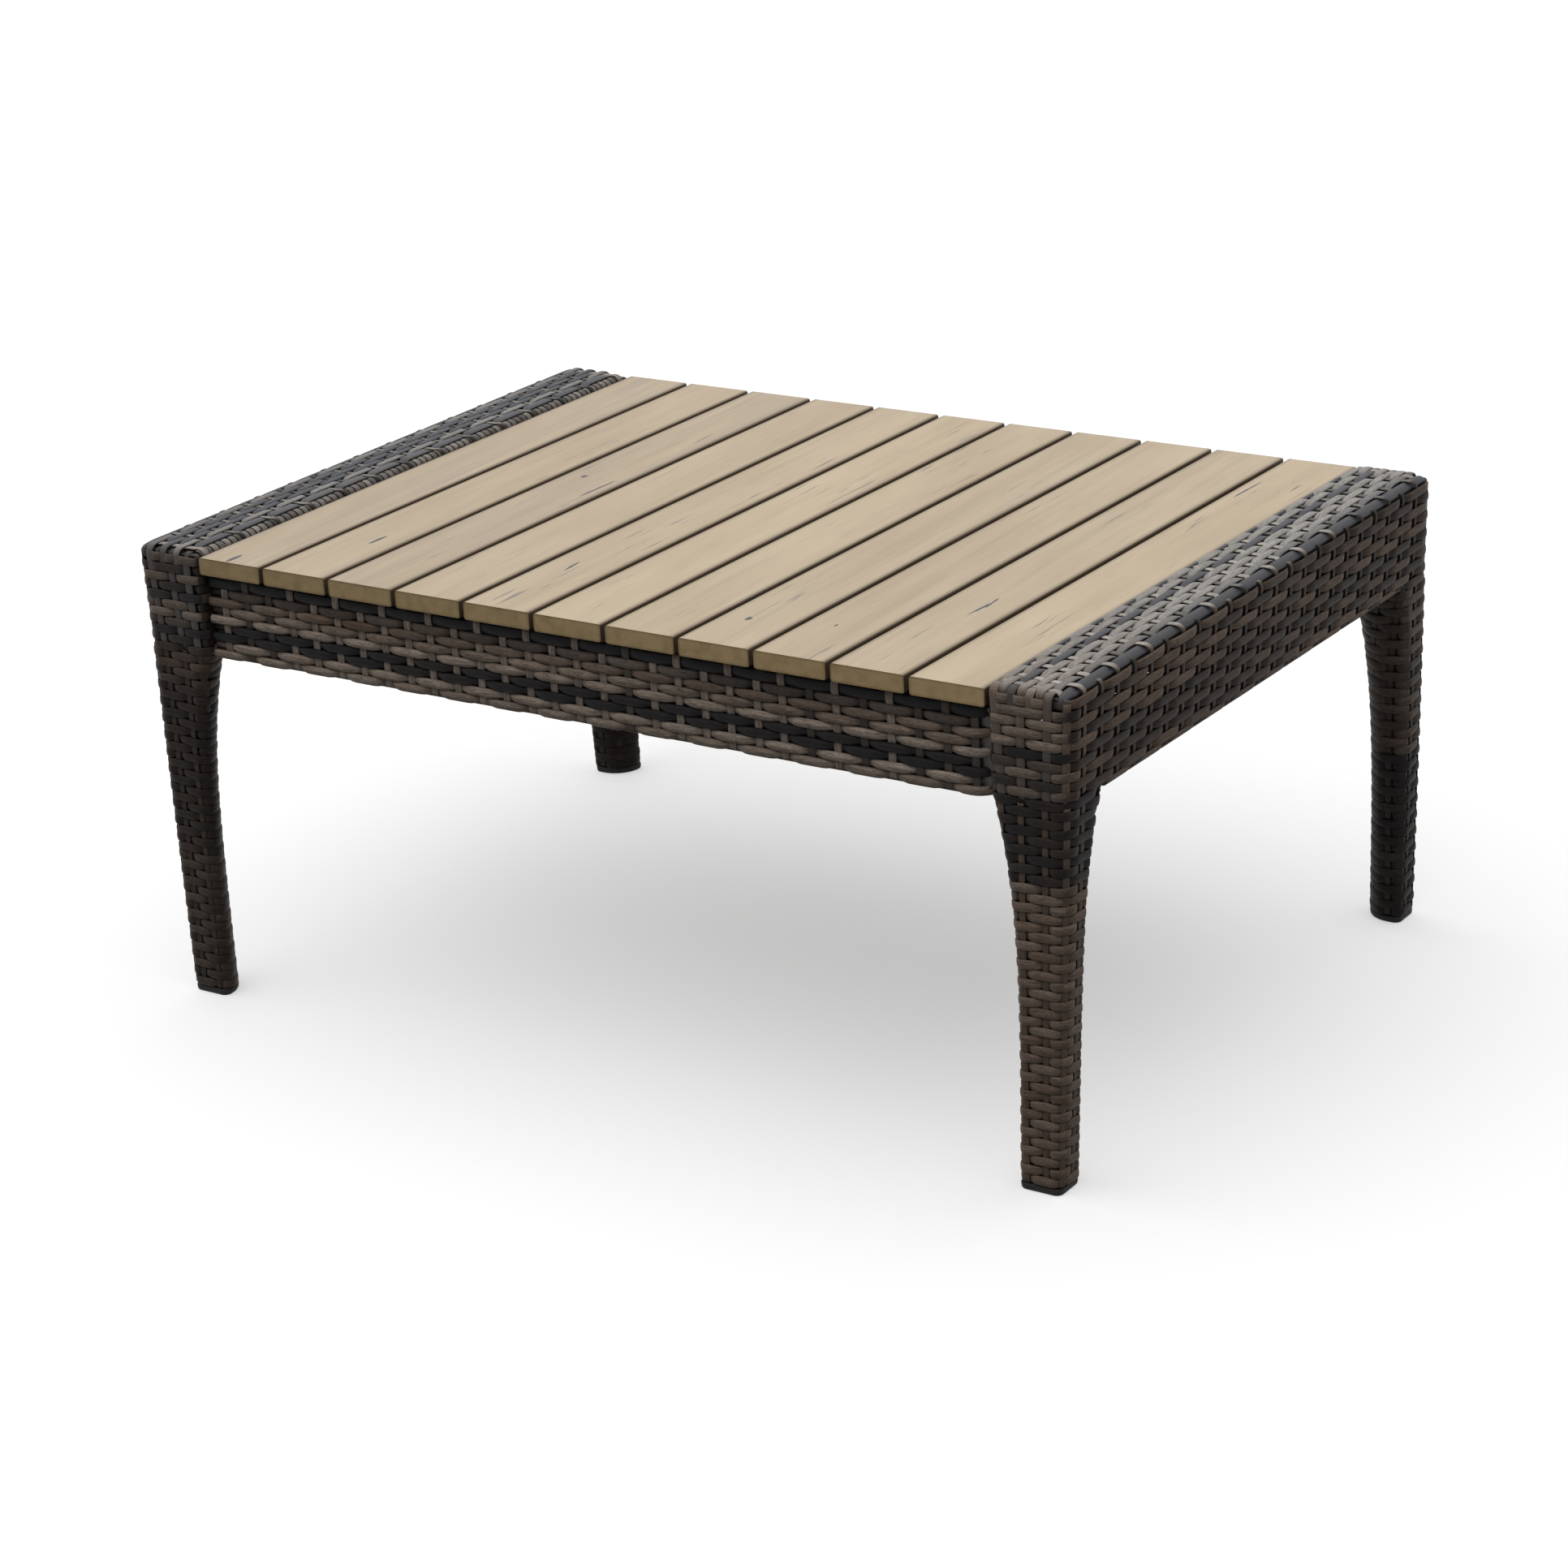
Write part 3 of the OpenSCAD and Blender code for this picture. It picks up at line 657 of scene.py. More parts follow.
def cane_finish(name, pale, brown, charcoal, gloss, ribbed=False):
    """Coextruded cane: pale or brown, and charcoal or umber where dark, by the tint, with lengthwise fibres
    and fine specks."""
    start = new_finish(name)
    flat = start.add("ShaderNodeUVMap", {"uv_map": "lengthwise"}, {})
    tint = start.add("ShaderNodeAttribute", {"attribute_name": "cane_tint"}, {}, "Color")
    shade = start.add("ShaderNodeAttribute", {"attribute_name": "cane_tint"}, {}, "Alpha")
    dark = tint.axis(0)
    warm = tint.axis(1)
    strand = tint.axis(2)
    apart = start.add("ShaderNodeCombineXYZ", {}, {2: strand * 60.0})
    streak = flat.spread((62.0, 13.0, 0.0)).shift(apart).grain(1.0, 3.0, 0.6)
    fibre = flat.spread((240.0, 42.0, 0.0)).shift(apart).grain(1.0, 2.0, 0.6)
    speck = flat.spread((780.0, 15.0, 0.0)).shift(apart).grain(1.0, 1.0)
    cloud = place_in_frame(start).grain(26.0, 2.0)
    pale = warm.blend(pale, brown)
    turned = (dark + (streak - 0.5) * 0.35 * (dark * (1.0 - dark) * 4.0)).rise(0.05, 0.95)
    base = turned.blend(pale, (warm * 0.85).blend(charcoal, UMBER))
    lines = streak.rise(0.28, 0.72)
    hairs = fibre.rise(0.3, 0.7)
    lift = 0.17 + 0.54 * lines + 0.44 * hairs + 0.24 * cloud + (strand - 0.5) * 0.16
    specks = speck.rise(0.4, 0.26) * (0.55 - 0.25 * dark) * hairs
    # Painted shade: the colour darkens towards a cane's edges, and by the tint's alpha where a top cane dips
    bow = (flat.axis(1) - CROWN_PLACE) / CROWN_PLACE
    edge = (bow * bow).rise(0.1, 1.05)
    shown = base.lit(lift * (1.0 - specks) * (1.03 - EDGE_SHADE * edge) * shade)
    ribs = flat.axis(1) * (2 * math.pi * RIBS_ROUND)
    relief = lines * 0.4 + hairs * 0.4 + (ribs.wave() * 0.5 if ribbed else speck * 0.4)
    return start.dress(
        Base_Color=shown,
        Roughness=0.40 + 0.16 * streak + 0.12 * fibre - 0.06 * dark,
        Normal=relief.relief(0.0004, 0.5),
        Specular_IOR_Level=gloss,
    )


ROW_CANE = cane_finish("woven cane", colour(190, 175, 161), colour(120, 101, 87), colour(31, 31, 34), 0.1)
# The top canes' charcoal is lighter and bluer and their pale cooler than the rows': painted sky sheen on the
# top faces
SHEENED_TOP_CANE = cane_finish(
    "top cane with painted sky sheen", colour(160, 156, 151), colour(122, 103, 88), colour(47, 49, 57), 0.35
)
STAKE_CANE = cane_finish(
    "ribbed stake cane", colour(196, 189, 180), colour(132, 110, 93), colour(40, 40, 43), 0.15, ribbed=True
)
CANES = (ROW_CANE, STAKE_CANE)


def out_x(z):
    """The outer face of a side frame, which leans in towards the floor."""
    return HALF_WIDTH - SIDE_LEAN * (1 - z / RAIL_TOP)


def side_rail(side, name):
    """Rows round the rail, stakes round its section, canes along its top and its underside. A stake passes
    over a row if their numbers add up to an even one. Above the rows of the wall count the outer edge cane,
    the top canes and the inner edge cane."""
    top_canes = TOP_CANES[name]
    slant = STAKE_SLANT[name]
    edges = RIGHT_EDGES if name == "right" else LEFT_EDGES
    rail_width = HALF_WIDTH - RAIL_IN
    side_stakes = SIDE_STAKES[name]
    long_canes = LONG_CANES[name]
    wall_rows = len(RAIL_ROWS)
    edge_row = wall_rows + EDGE_SKIP[name]
    inner_row = edge_row + len(top_canes) + 1
    clear = RAIL_END - LEG_ROOM

    def stake_y(y, place):
        """Where a stake lies at a distance from the outer edge."""
        return y + slant * (place / rail_width - 0.5)

    def on_wall(z):
        radii = (OUTER_CORNER, INNER_CORNER, INNER_CORNER, OUTER_CORNER)
        return Outline(out_x(z) - RAIL_IN, 2 * RAIL_END, radii, WEAVE_DEPTH)

    def stand(point, normal, z):
        path = in_space(side * (out_x(z) - point[:, 0]), point[:, 1] - RAIL_END, z)
        return path, in_space(-side * normal[:, 0], normal[:, 1], 0.0)

    def down_face(cane, z):
        """Distance from the outer face of a top cane that has come down an end face to height z."""
        foot = long_canes.get(cane, top_canes[cane])
        return foot + (top_canes[cane] - foot) * np.clip((z - RAIL_LOW) / (RAIL_TOP - RAIL_LOW), 0, 1)

    def cane_over(cane, row):
        """1 where a top cane passes over a row of the end face, -1 where it passes under."""
        if row == wall_rows - 1:
            return even(cane)
        if row == wall_rows - 2:
            return 1.0 if cane in (0, len(top_canes) - 1) else -1.0
        return even(row + list(long_canes).index(cane))

    rows = Weave()
    for row, z in enumerate(RAIL_ROWS):
        wall = on_wall(z)
        run = wall.stations()
        width = out_x(z) - RAIL_IN
        crossings = []
        signs = []
        for stake, y in enumerate(side_stakes):
            crossings += [wall.where(0.0, stake_y(y, 0.0) + RAIL_END)]
            crossings += [wall.where(width, stake_y(y, rail_width) + RAIL_END)]
            signs += [-even(row + stake), even(row + stake)]
        met = range(len(top_canes)) if row >= wall_rows - 2 else long_canes
        for front in (0.0, 2 * RAIL_END):
            crossings += [wall.where(0.0, front), *[wall.where(down_face(cane, z), front) for cane in met]]
            signs += [even(row), *[-cane_over(cane, row) for cane in met]]
        height = round_and_round(run, crossings, signs, wall.length)
        height = pull_tight(height, wall.at(run)[1], run, wall.length)
        path, out = stand(*wall.at(run), z)
        path = lifted(path, out, height * ROW_RISE)
        path[:, 2] += varied(run, *ROW_STRAY)
        change = varied(run, *ROW_CHANGE) + varied(run, *ROW_FINE_CHANGE)
        facing = out[:, 1] ** 2
        dark = WALL_TONES[row] + (END_TONES[name][row] - WALL_TONES[row]) * facing
        dark = dark + change * (1 - END_STEADY * facing)
        wide, thick = plump(height, ROW_WIDE, ROW_THICK)
        inner = side * out[:, 0] < -FACING
        wide = np.where(inner, SNUG_ROW, wide)
        dark = dark + INNER_PAINTED_SHADE * inner
        warm = varied(run, *ROW_WARMTH) - facing * (END_COOL + END_DARK_COOL * dark)
        rows.lay(path, out, (wide, thick), dark + painted_recess_shade(height), warm, closed=True)

    y = np.linspace(-clear, clear, int(2 * clear / CANE_STEP))
    for face, place in ((1, 0.0), (-1, rail_width)):
        hem_x = out_x(HEM_Z) - WEAVE_DEPTH if face > 0 else RAIL_IN + WEAVE_DEPTH
        signs = [-face * even(stake - 1) for stake in range(len(side_stakes))]
        height = over_and_under(y, stake_y(side_stakes, place), signs)
        path = in_space(side * (hem_x + face * height * ROW_RISE), y, HEM_Z)
        out = np.tile([float(side * face), 0.0, 0.0], (len(y), 1))
        rows.lay(path, out, HEM_HALF, varied(y, *HEM_TONE) + painted_recess_shade(height), HEM_WARMTH)
    spacing = (out_x(RAIL_LOW) - RAIL_IN) / len(UNDER_CANES)
    for cane in UNDER_CANES:
        signs = [even(cane + stake) for stake in range(len(side_stakes))]
        height = over_and_under(y, side_stakes, signs)
        path = in_space(side * (RAIL_IN + (cane + 0.5) * spacing), y, RAIL_LOW + WEAVE_DEPTH)
        down = np.tile([0.0, 0.0, -1.0], (len(y), 1))
        path = lifted(path, down, height * ROW_RISE)
        half = (SNUG_ROW, plump(height, ROW_WIDE, ROW_THICK)[1])
        rows.lay(path, down, half, varied(y, *UNDER_TONE), UNDER_WARMTH)
    rows.piece(f"{name}_rail_rows", f"{name}_rail_weave", CANES)

    stakes = Weave()
    tall = RAIL_TOP - RAIL_LOW
    section = Outline(rail_width, tall, (RAIL_EDGE, RAIL_EDGE, LOW_CORNER, LOW_CORNER), WEAVE_DEPTH)

    def round_rail(run, y):
        point, normal = section.at(run)
        z = RAIL_TOP - point[:, 1]
        outer = out_x(z)
        x = side * (outer - point[:, 0] * (outer - RAIL_IN) / rail_width)
        path = in_space(x, stake_y(y, point[:, 0]), z)
        return path, in_space(-side * normal[:, 0], 0.0, -normal[:, 1])

    def across_top(stake):
        """What a stake meets on the top, as distances round the section, and how high it passes."""
        places = [section.where(edges[0][0], 0.0), *[section.where(place, 0.0) for place in top_canes]]
        heights = [TIE_RISE[name] if even(edge_row + stake) > 0 else TIE_SINK]
        heights += [even(edge_row + 1 + cane + stake) for cane in range(len(top_canes))]
        bound = even(inner_row + stake) * (1.0 if name == "right" else RIBBON_SINK)
        return [*places, section.where(RIGHT_EDGES[1][0], 0.0)], [*heights, bound]

    def stake_tone(y):
        """Towards the back more of the stakes are charcoal."""
        return STAKE_TONES[name][int(chance.uniform() < DARK_SHARE + DARK_GAIN * y / RAIL_END)]

    low_outer = section.where(0.0, tall - LOW_CORNER) - section.length
    low_inner = section.where(rail_width, tall - LOW_CORNER)
    levels = list(enumerate(RAIL_ROWS))
    for stake, y in enumerate(side_stakes):
        crossings, signs = across_top(stake)
        for row, z in [(-1, HEM_Z), *levels]:
            crossings += [section.where(0.0, RAIL_TOP - z), section.where(rail_width, RAIL_TOP - z)]
            signs += [even(row + stake), -even(row + stake)]
        for cane in UNDER_CANES:
            place = rail_width * (1 - (cane + 0.5) / len(UNDER_CANES))
            crossings.append(section.where(place, tall))
            signs.append(-even(cane + stake))
        whole = abs(y) < clear - STAKE_ROOM
        run = section.stations() if whole else section.stations(low_outer, low_inner)
        height = round_and_round(run, crossings, signs, section.length)
        path, out = round_rail(run, y + chance.uniform(-STAKE_STRAY, STAKE_STRAY))
        path = lifted(path, out, height * STAKE_RISE)
        upright = np.abs(out[:, 0])
        dark = varied(run, stake_tone(y), *STAKE_CHANGE)
        dark = dark + (WALL_STAKE_SHADE if stake else FIRST_STAKE_SHADE) * upright
        half = (STAKE_HALF[0] - WALL_STAKE_LESS * np.maximum(upright, TOP_STAKE_LESS[name]), STAKE_HALF[1])
        stakes.lay(path, out, half, dark, STAKE_WARMTH + WALL_WARMER * upright, closed=whole, kind=1)
    for end, stake in ((-1, -1), (1, len(side_stakes))):
        crossings, signs = across_top(stake)
        signs[0] = TIE_SINK
        run = section.stations(section.where(CROSS_START, 0.0), low_inner)
        crossings += [section.where(rail_width, RAIL_TOP - z) for row, z in levels]
        signs += [-even(row + stake) for row, z in levels]
        height = over_and_under(run, crossings, signs)
        path, out = round_rail(run, end * END_CROSS)
        path = lifted(path, out, height * STAKE_RISE)
        stakes.lay(path, out, STAKE_HALF, varied(run, CROSS_TONE, *STAKE_CHANGE), CROSS_WARMTH, kind=1)
        corner = []
        outward = []
        heights = np.linspace(RAIL_LOW, RAIL_TOP - CORNER_STAKE_LESS, CORNER_STAKE_POINTS)
        for z in heights:
            wall = on_wall(z)
            middle = wall.where(0.0, RAIL_END + end * RAIL_END)
            point, normal = stand(*wall.at(np.array([middle])), z)
            corner.append(point[0])
            outward.append(normal[0])
        out = np.array(outward)
        signs = [-even(row) for row, z in levels]
        height = over_and_under(heights, RAIL_ROWS, signs)
        path = lifted(np.array(corner), out, height * STAKE_RISE)
        tone = CORNER_STAKE_TONE + CORNER_STAKE_CHANGE * chance.uniform()
        stakes.lay(path, out, STAKE_HALF, tone, WALL_WARMER, kind=1)
    stakes.piece(f"{name}_rail_stakes", f"{name}_rail_weave", CANES)

    top = Weave()
    over_edge = Outline(2 * RAIL_END, 2 * tall, (RAIL_EDGE,) * 4, WEAVE_DEPTH)
    all_stakes = [(-1, -END_CROSS), *enumerate(side_stakes), (len(side_stakes), END_CROSS)]
    for cane, place in enumerate(top_canes):
        met = range(0 if cane in long_canes else wall_rows - 2, wall_rows)
        tail = RAIL_LOW - LONG_TAIL if cane in long_canes else RAIL_ROWS[wall_rows - 2] - SHORT_TAIL
        crossings = []
        signs = []
        for front, lap in ((0.0, over_edge.length), (2 * RAIL_END, 0.0)):
            crossings += [over_edge.where(front, RAIL_TOP - RAIL_ROWS[row]) - lap for row in met]
            crossings.append(over_edge.where(front, RAIL_TOP - tail) - lap)
            signs += [*[cane_over(cane, row) for row in met], TAIL_SINK]
        run = over_edge.stations(min(crossings), max(crossings))
        for stake, y in all_stakes:
            crossings.append(over_edge.where(stake_y(y, place) + RAIL_END, 0.0))
            signs.append(-even(edge_row + 1 + cane + stake))
        height = over_and_under(run, crossings, signs, *TOP_HOLD[name])
        point, normal = over_edge.at(run)
        z = RAIL_TOP - point[:, 1]
        x = side * (out_x(z) - down_face(cane, z)) + varied(run, *TOP_STRAY)
        path = in_space(x, point[:, 0] - RAIL_END, z)
        out = in_space(0.0, normal[:, 0], -normal[:, 1])
        folded = np.abs(out[:, 1])
        path = lifted(path, out, height * (TOP_RISE + (STAKE_RISE - TOP_RISE) * folded))
        wide, thick = plump(height, TOP_WIDE[name], TOP_THICK)
        if name == "left" and cane == len(top_canes) - 1:
            wide = wide + RIBBON_EXTRA * (1 - RIBBON_FOLD * folded)
        dark = varied(run, TOP_TONES[name][cane] * (1 - FOLD_EVEN * folded), *TOP_CHANGE)
        lower = np.clip((RAIL_TOP - LOWER_START - z) / LOWER_REACH, 0, 1)
        tone = dark + FOLD_DARKER * folded + LOWER_DARKER * lower + painted_recess_shade(height, TOP_RECESS_SHADE)
        brown_front = FRONT_BROWN[name] * np.clip((-path[:, 1] - FRONT_START) / RAIL_END, 0, 1)
        warm = varied(run, *TOP_WARMTH) + brown_front + FOLD_WARMER * folded
        shade = 1 - TOP_SHADE[name] * np.clip(SHADE_HEIGHT - height, 0, 1)
        top.lay(path, out, (wide, thick * (1 - FOLD_THIN * folded)), tone, warm, shade=shade)

    for cane, (across, sunk, tilt, wide, thick, fold, rise, taper) in enumerate(edges):
        edge = Outline(2 * RAIL_END, 2 * tall, (RAIL_EDGE,) * 4, sunk)
        far = edge.where(2 * RAIL_END, 0.0)
        run = edge.stations(-fold, far + fold)
        ties = [edge.where(stake_y(y, across) + RAIL_END, 0.0) for y in side_stakes]
        number = inner_row if cane else edge_row
        signs = [-even(number + stake) for stake in range(len(side_stakes))]
        height = over_and_under(run, [-fold, *ties, far + fold], [EDGE_SINK, *signs, EDGE_SINK])
        point, normal = edge.at(run)
        path = in_space(side * (HALF_WIDTH - across), point[:, 0] - RAIL_END, RAIL_TOP - point[:, 1])
        upright = math.cos(tilt) * normal
        out = in_space(side * math.sin(tilt), upright[:, 0], -upright[:, 1])
        path = lifted(path, out, height * rise)
        dark = varied(run, *EDGE_TONE)
        narrow = np.clip((np.abs(run - far / 2) - far / 2 + EDGE_TAPER) / (fold + EDGE_TAPER), 0, 1)
        slim = 1 - taper * narrow
        top.lay(path, out, (wide * slim, thick * slim), dark, EDGE_WARMTH, crown=1.0, belly=EDGE_BELLY)
    if name == "left":
        for y in np.arange(RIB_ROOM - RAIL_END, RAIL_END - RIB_ROOM, RIB_PITCH):
            run = section.stations(section.where(RIB_START, 0.0), section.where(rail_width, RIB_DEPTH))
            path, out = round_rail(run, y)
            top.lay(path, out, STAKE_HALF, RIB_TONE + RIB_CHANGE * chance.uniform(), RIB_WARMTH, kind=1)
    top.piece(f"{name}_rail_top", f"{name}_rail_weave", (SHEENED_TOP_CANE, STAKE_CANE))


side_rail(1, "right")
side_rail(-1, "left")


# Woven skin of the legs
# The rails' stakes run on down the legs, and rows of the same flat cane go round them. As a leg narrows,
# stakes on its inner faces end in pairs under a row.

LEG_EDGE = 7 * MM
# The outer corner is rounder at the rail than at the foot
LEG_OUTER = 12 * MM
# Width and depth at the foot, what the width gains evenly, and what both gain in the flare, with its power
LEG_WIDTH, LEG_DEPTH = 38 * MM, 33 * MM
LEG_TAPER = 6.5 * MM
WIDTH_FLARE, WIDTH_POWER = 22.5 * MM, 4
DEPTH_FLARE, DEPTH_POWER = 23 * MM, 6
SLOPE_STEP = 2 * MM
LEG_FACING = 0.3
FOOT_CAP = 6 * MM
FOOT_SPLAY = 4 * MM
LEG_ROW_PITCH = 7.73 * MM
LOW_ROW_ROOM = 2.5 * MM
LEG_ROWS = np.arange(RAIL_ROWS[0] - LEG_ROW_PITCH, FOOT_CAP + LOW_ROW_ROOM, -LEG_ROW_PITCH)
# Stakes come in pairs, on the front and on the flank: millimetres round the leg at the rail and at the foot
LEG_STAKES = [(-1, -2, -21, -17), (16, 10, -46, -36), (37, 27, -66, -54), (54, 44, -87, -73)]
LEG_STAKES += [(75, 61, -106, -90)]
LAST_PAIR_ROOM = 10 * MM
LEG_STAKE_HALF = (2.9 * MM, 0.75 * MM)
# They end this far over the foot cap and over the rail's underside
LEG_STAKE_FOOT = 1.5 * MM
LEG_STAKE_TOP = 2 * MM
# The rows climb towards the outer corner and sink along the flank, less so near the foot and the rail
ROW_TILT = 2.0 * MM
TILT_START = 8 * MM
TILT_FOOT = 20 * MM
TILT_RAIL = 30 * MM
LEG_STRAY = (0.0, 0.3 * MM, 50 * MM)
# Heights between which each leg's rows are charcoal, and how dark its other rows and its stakes are
LEG_TONES = {
    ("front", "right"): (247 * MM, 330 * MM, 0.26, 0.46),
    ("front", "left"): (125 * MM, 282 * MM, 0.68, 0.74),
    ("rear", "right"): (0.0, 160 * MM, 0.6, 0.85),
    ("rear", "left"): (0.0, 300 * MM, 0.7, 0.85),
}
LEG_TURN = 12 * MM
LEG_DARKEST = 0.88
LEG_CHANGE = (0.12, 40 * MM)
LEG_STAKE_CHANGE = 0.15
LEG_WARMTH = (0.95, 0.15, 60 * MM)
LEG_SLATE = {"right": 0.6, "left": 0.25}
CORNERS = [(-1, -1, ("front", "left")), (1, -1, ("front", "right"))]
CORNERS += [(-1, 1, ("rear", "left")), (1, 1, ("rear", "right"))]


def leg_outline(z, inset):
    part = z / RAIL_LOW
    width = LEG_WIDTH + LEG_TAPER * part + WIDTH_FLARE * part**WIDTH_POWER
    depth = LEG_DEPTH + DEPTH_FLARE * part**DEPTH_POWER
    inner = min(width, depth) - LEG_EDGE
    outer = LEG_EDGE + (LEG_OUTER - LEG_EDGE) * part**2
    return Outline(width, depth, (outer, LEG_EDGE, inner, LEG_EDGE), inset)


def out_y(z):
    """The front or back face of a leg, which stands out a little towards the foot."""
    return RAIL_END + FOOT_SPLAY * max(0.0, 1 - z / RAIL_LOW)


def leg(side, end, name):
    """Rows round a leg, and stakes down it for as long as they have room."""

    def stand(z, run):
        outline = leg_outline(z, WEAVE_DEPTH)
        point, normal = outline.at(run)
        below = leg_outline(z - SLOPE_STEP, WEAVE_DEPTH).at(run)[0]
        slope = ((point - below) * normal).sum(1) / SLOPE_STEP
        path = in_space(side * (out_x(z) - point[:, 0]), end * (out_y(z) - point[:, 1]), z)
        return path, unit(in_space(-side * normal[:, 0], -end * normal[:, 1], -slope))

    def stakes_at(z, length):
        """Stakes that still have room at this height, as number and distance round the leg."""
        part = z / RAIL_LOW
        found = []
        for k, (front_top, front_foot, flank_top, flank_foot) in enumerate(LEG_STAKES):
            front = (front_foot + (front_top - front_foot) * part) * MM
            flank = (flank_foot + (flank_top - flank_foot) * part) * MM
            if front - flank < length - LAST_PAIR_ROOM:
                found += [(k, front), (-1 - k, flank)]
        return found

    weave = Weave()
    low_dark, high_dark, plain, stake_tone = LEG_TONES[name]
    for row, z in enumerate(LEG_ROWS):
        outline = leg_outline(z, WEAVE_DEPTH)
        run = outline.stations()
        stakes = stakes_at(z, outline.length)
        signs = [-even(row + number) for number, place in stakes]
        height = round_and_round(run, [place for number, place in stakes], signs, outline.length)
        height = pull_tight(height, outline.at(run)[1], run, outline.length)
        path, out = stand(z, run)
        path = lifted(path, out, height * ROW_RISE)
        free = min(1.0, (z - FOOT_CAP) / TILT_FOOT, (RAIL_LOW - z) / TILT_RAIL)
        turn = 2 * math.pi * (run - TILT_START) / outline.length
        path[:, 2] += ROW_TILT * free * np.cos(turn) + varied(run, *LEG_STRAY)
        inside = min(z - low_dark, high_dark - z) / LEG_TURN
        dark = np.clip(0.5 + inside + 0.5 * chance.uniform(-1, 1), plain, LEG_DARKEST)
        dark = varied(run, dark, *LEG_CHANGE)
        wide, thick = plump(height, ROW_WIDE, ROW_THICK)
        inward = np.maximum(-side * out[:, 0], -end * out[:, 1]) > LEG_FACING
        wide = np.where(inward, SNUG_ROW, wide)
        warm = varied(run, *LEG_WARMTH) - LEG_SLATE[name[1]] * dark
        weave.lay(path, out, (wide, thick), dark + painted_recess_shade(height), warm, closed=True)
    for pair in range(len(LEG_STAKES)):
        for number in (pair, -1 - pair):
            path = []
            out = []
            for z in np.arange(FOOT_CAP + LEG_STAKE_FOOT, RAIL_LOW + LEG_STAKE_TOP, CANE_STEP):
                places = dict(stakes_at(z, leg_outline(z, WEAVE_DEPTH).length))
                if number in places:
                    point, normal = stand(z, np.array([places[number]]))
                    path.append(point[0])
                    out.append(normal[0])
            path = np.array(path)
            out = np.array(out)
            signs = [even(row + number) for row in range(len(LEG_ROWS))]
            height = over_and_under(path[:, 2], LEG_ROWS, signs)
            path = lifted(path, out, height * STAKE_RISE)
            tone = stake_tone + LEG_STAKE_CHANGE * chance.uniform()
            weave.lay(path, out, LEG_STAKE_HALF, tone, LEG_WARMTH[0], kind=1)
    whole = "_".join(name)
    weave.piece(f"{whole}_leg_cane", f"{whole}_leg_weave", CANES)


for side, end, name in CORNERS:
    leg(side, end, name)


# Foot caps
# Black polyethylene caps, moulded with a plug that presses into the leg tube. They close the end of the
# weave and carry the table on a softly rounded sole.

# Heights and how far each lies inside the leg's outline, in millimetres
CAP_LEVELS = ((0.0, 2.4), (0.3, 1.2), (1.2, 0.6), (2.6, 0.3), (5.0, 0.3), (5.7, 0.7), (6.0, 1.6))
CAP_POINTS = 56


def moulded_black():
    start = new_finish("moulded black plastic")
    place = place_in_frame(start)
    scuff = place.spread((140.0, 140.0, 420.0)).grain(1.0, 4.0, 0.7)
    pebble = place.grain(1600.0, 1.0)
    worn = place.axis(2).rise(0.0035, 0.0) * scuff.rise(0.48, 0.66)
    return start.dress(
        Base_Color=(worn * 0.4).blend(colour(15, 15, 16), colour(70, 68, 65)),
        Roughness=0.5 + 0.2 * scuff + 0.15 * worn,
        Normal=(pebble + scuff).relief(0.0002, 0.3),
        Specular_IOR_Level=0.25,
    )


CAP_FINISH = moulded_black()


def foot_cap(side, end, name):
    points = []
    faces = []
    for level, inset in CAP_LEVELS:
        outline = leg_outline(0.0, inset * MM)
        run = np.linspace(0, outline.length, CAP_POINTS, endpoint=False)
        for u, v in outline.at(run)[0]:
            points.append((side * (out_x(0.0) - u), end * (out_y(0.0) - v), level * MM))
    n = CAP_POINTS
    for k in range(len(CAP_LEVELS) - 1):
        for j in range(n):
            after = (j + 1) % n
            faces.append((k * n + j, k * n + after, (k + 1) * n + after, (k + 1) * n + j))
    faces.append(tuple(range(n))[::-1])
    faces.append(tuple(range(len(points) - n, len(points))))
    if side * end < 0:
        faces = [face[::-1] for face in faces]
    mesh = bpy.data.meshes.new(f"{name}_sole")
    mesh.from_pydata(points, [], faces)
    mesh.materials.append(CAP_FINISH)
    mesh.shade_smooth()
    stand_for(f"{name}_foot_cap", f"{name}_sole", mesh)


for side, end, name in CORNERS:
    foot_cap(side, end, "_".join(name))


# Woven sleeves of the aprons
# Stout half-round cane runs along each apron, one over and one under flat stakes that wrap its section.
# A heavier charcoal cane lies along the top edge under the slats, tied by every second stake.

APRON_OUT = 304 * MM
APRON_THICK = 26 * MM
APRON_TOP = 389 * MM
APRON_LOW = 312 * MM
APRON_END = 382.3 * MM
APRON_EDGE = 6 * MM
APRON_DEPTH = 2.0 * MM
APRON_RISE = 1.6 * MM
APRON_HOLD = 0.4
APRON_ROW_WIDE = (3.55 * MM, 0.4 * MM)
APRON_ROW_THICK = (2.3 * MM, 0.5 * MM)
APRON_STAKE_HALF = (3.7 * MM, 0.75 * MM)
APRON_TOP_HALF = (4.9 * MM, 2.4 * MM)
EDGE_CANE_RISE = 0.9 * MM
# Rows on the top and the underside, as shares of the thickness; those of the top lie clear of the slats
HIDDEN_PLACES = (0.2, 0.5, 0.8)
HIDDEN_ROW_HALF = (4.0 * MM, 0.75 * MM)
HIDDEN_RISE = 0.4 * MM
HIDDEN_SINK = 1.0 * MM
HIDDEN_STAKE_SINK = 0.6 * MM
UNDERSIDE_RISE = 0.5 * MM
APRON_STAKES = (np.arange(31) - 15) * 24.5 * MM
FACE_ROWS = 371.6 * MM - 7.75 * MM * np.arange(8)
TOP_CANE_Z = 380.6 * MM
# The rows turn in at their right ends, over the last stretch and by this much
TURN_IN_REACH = 18 * MM
TURN_IN = 11 * MM
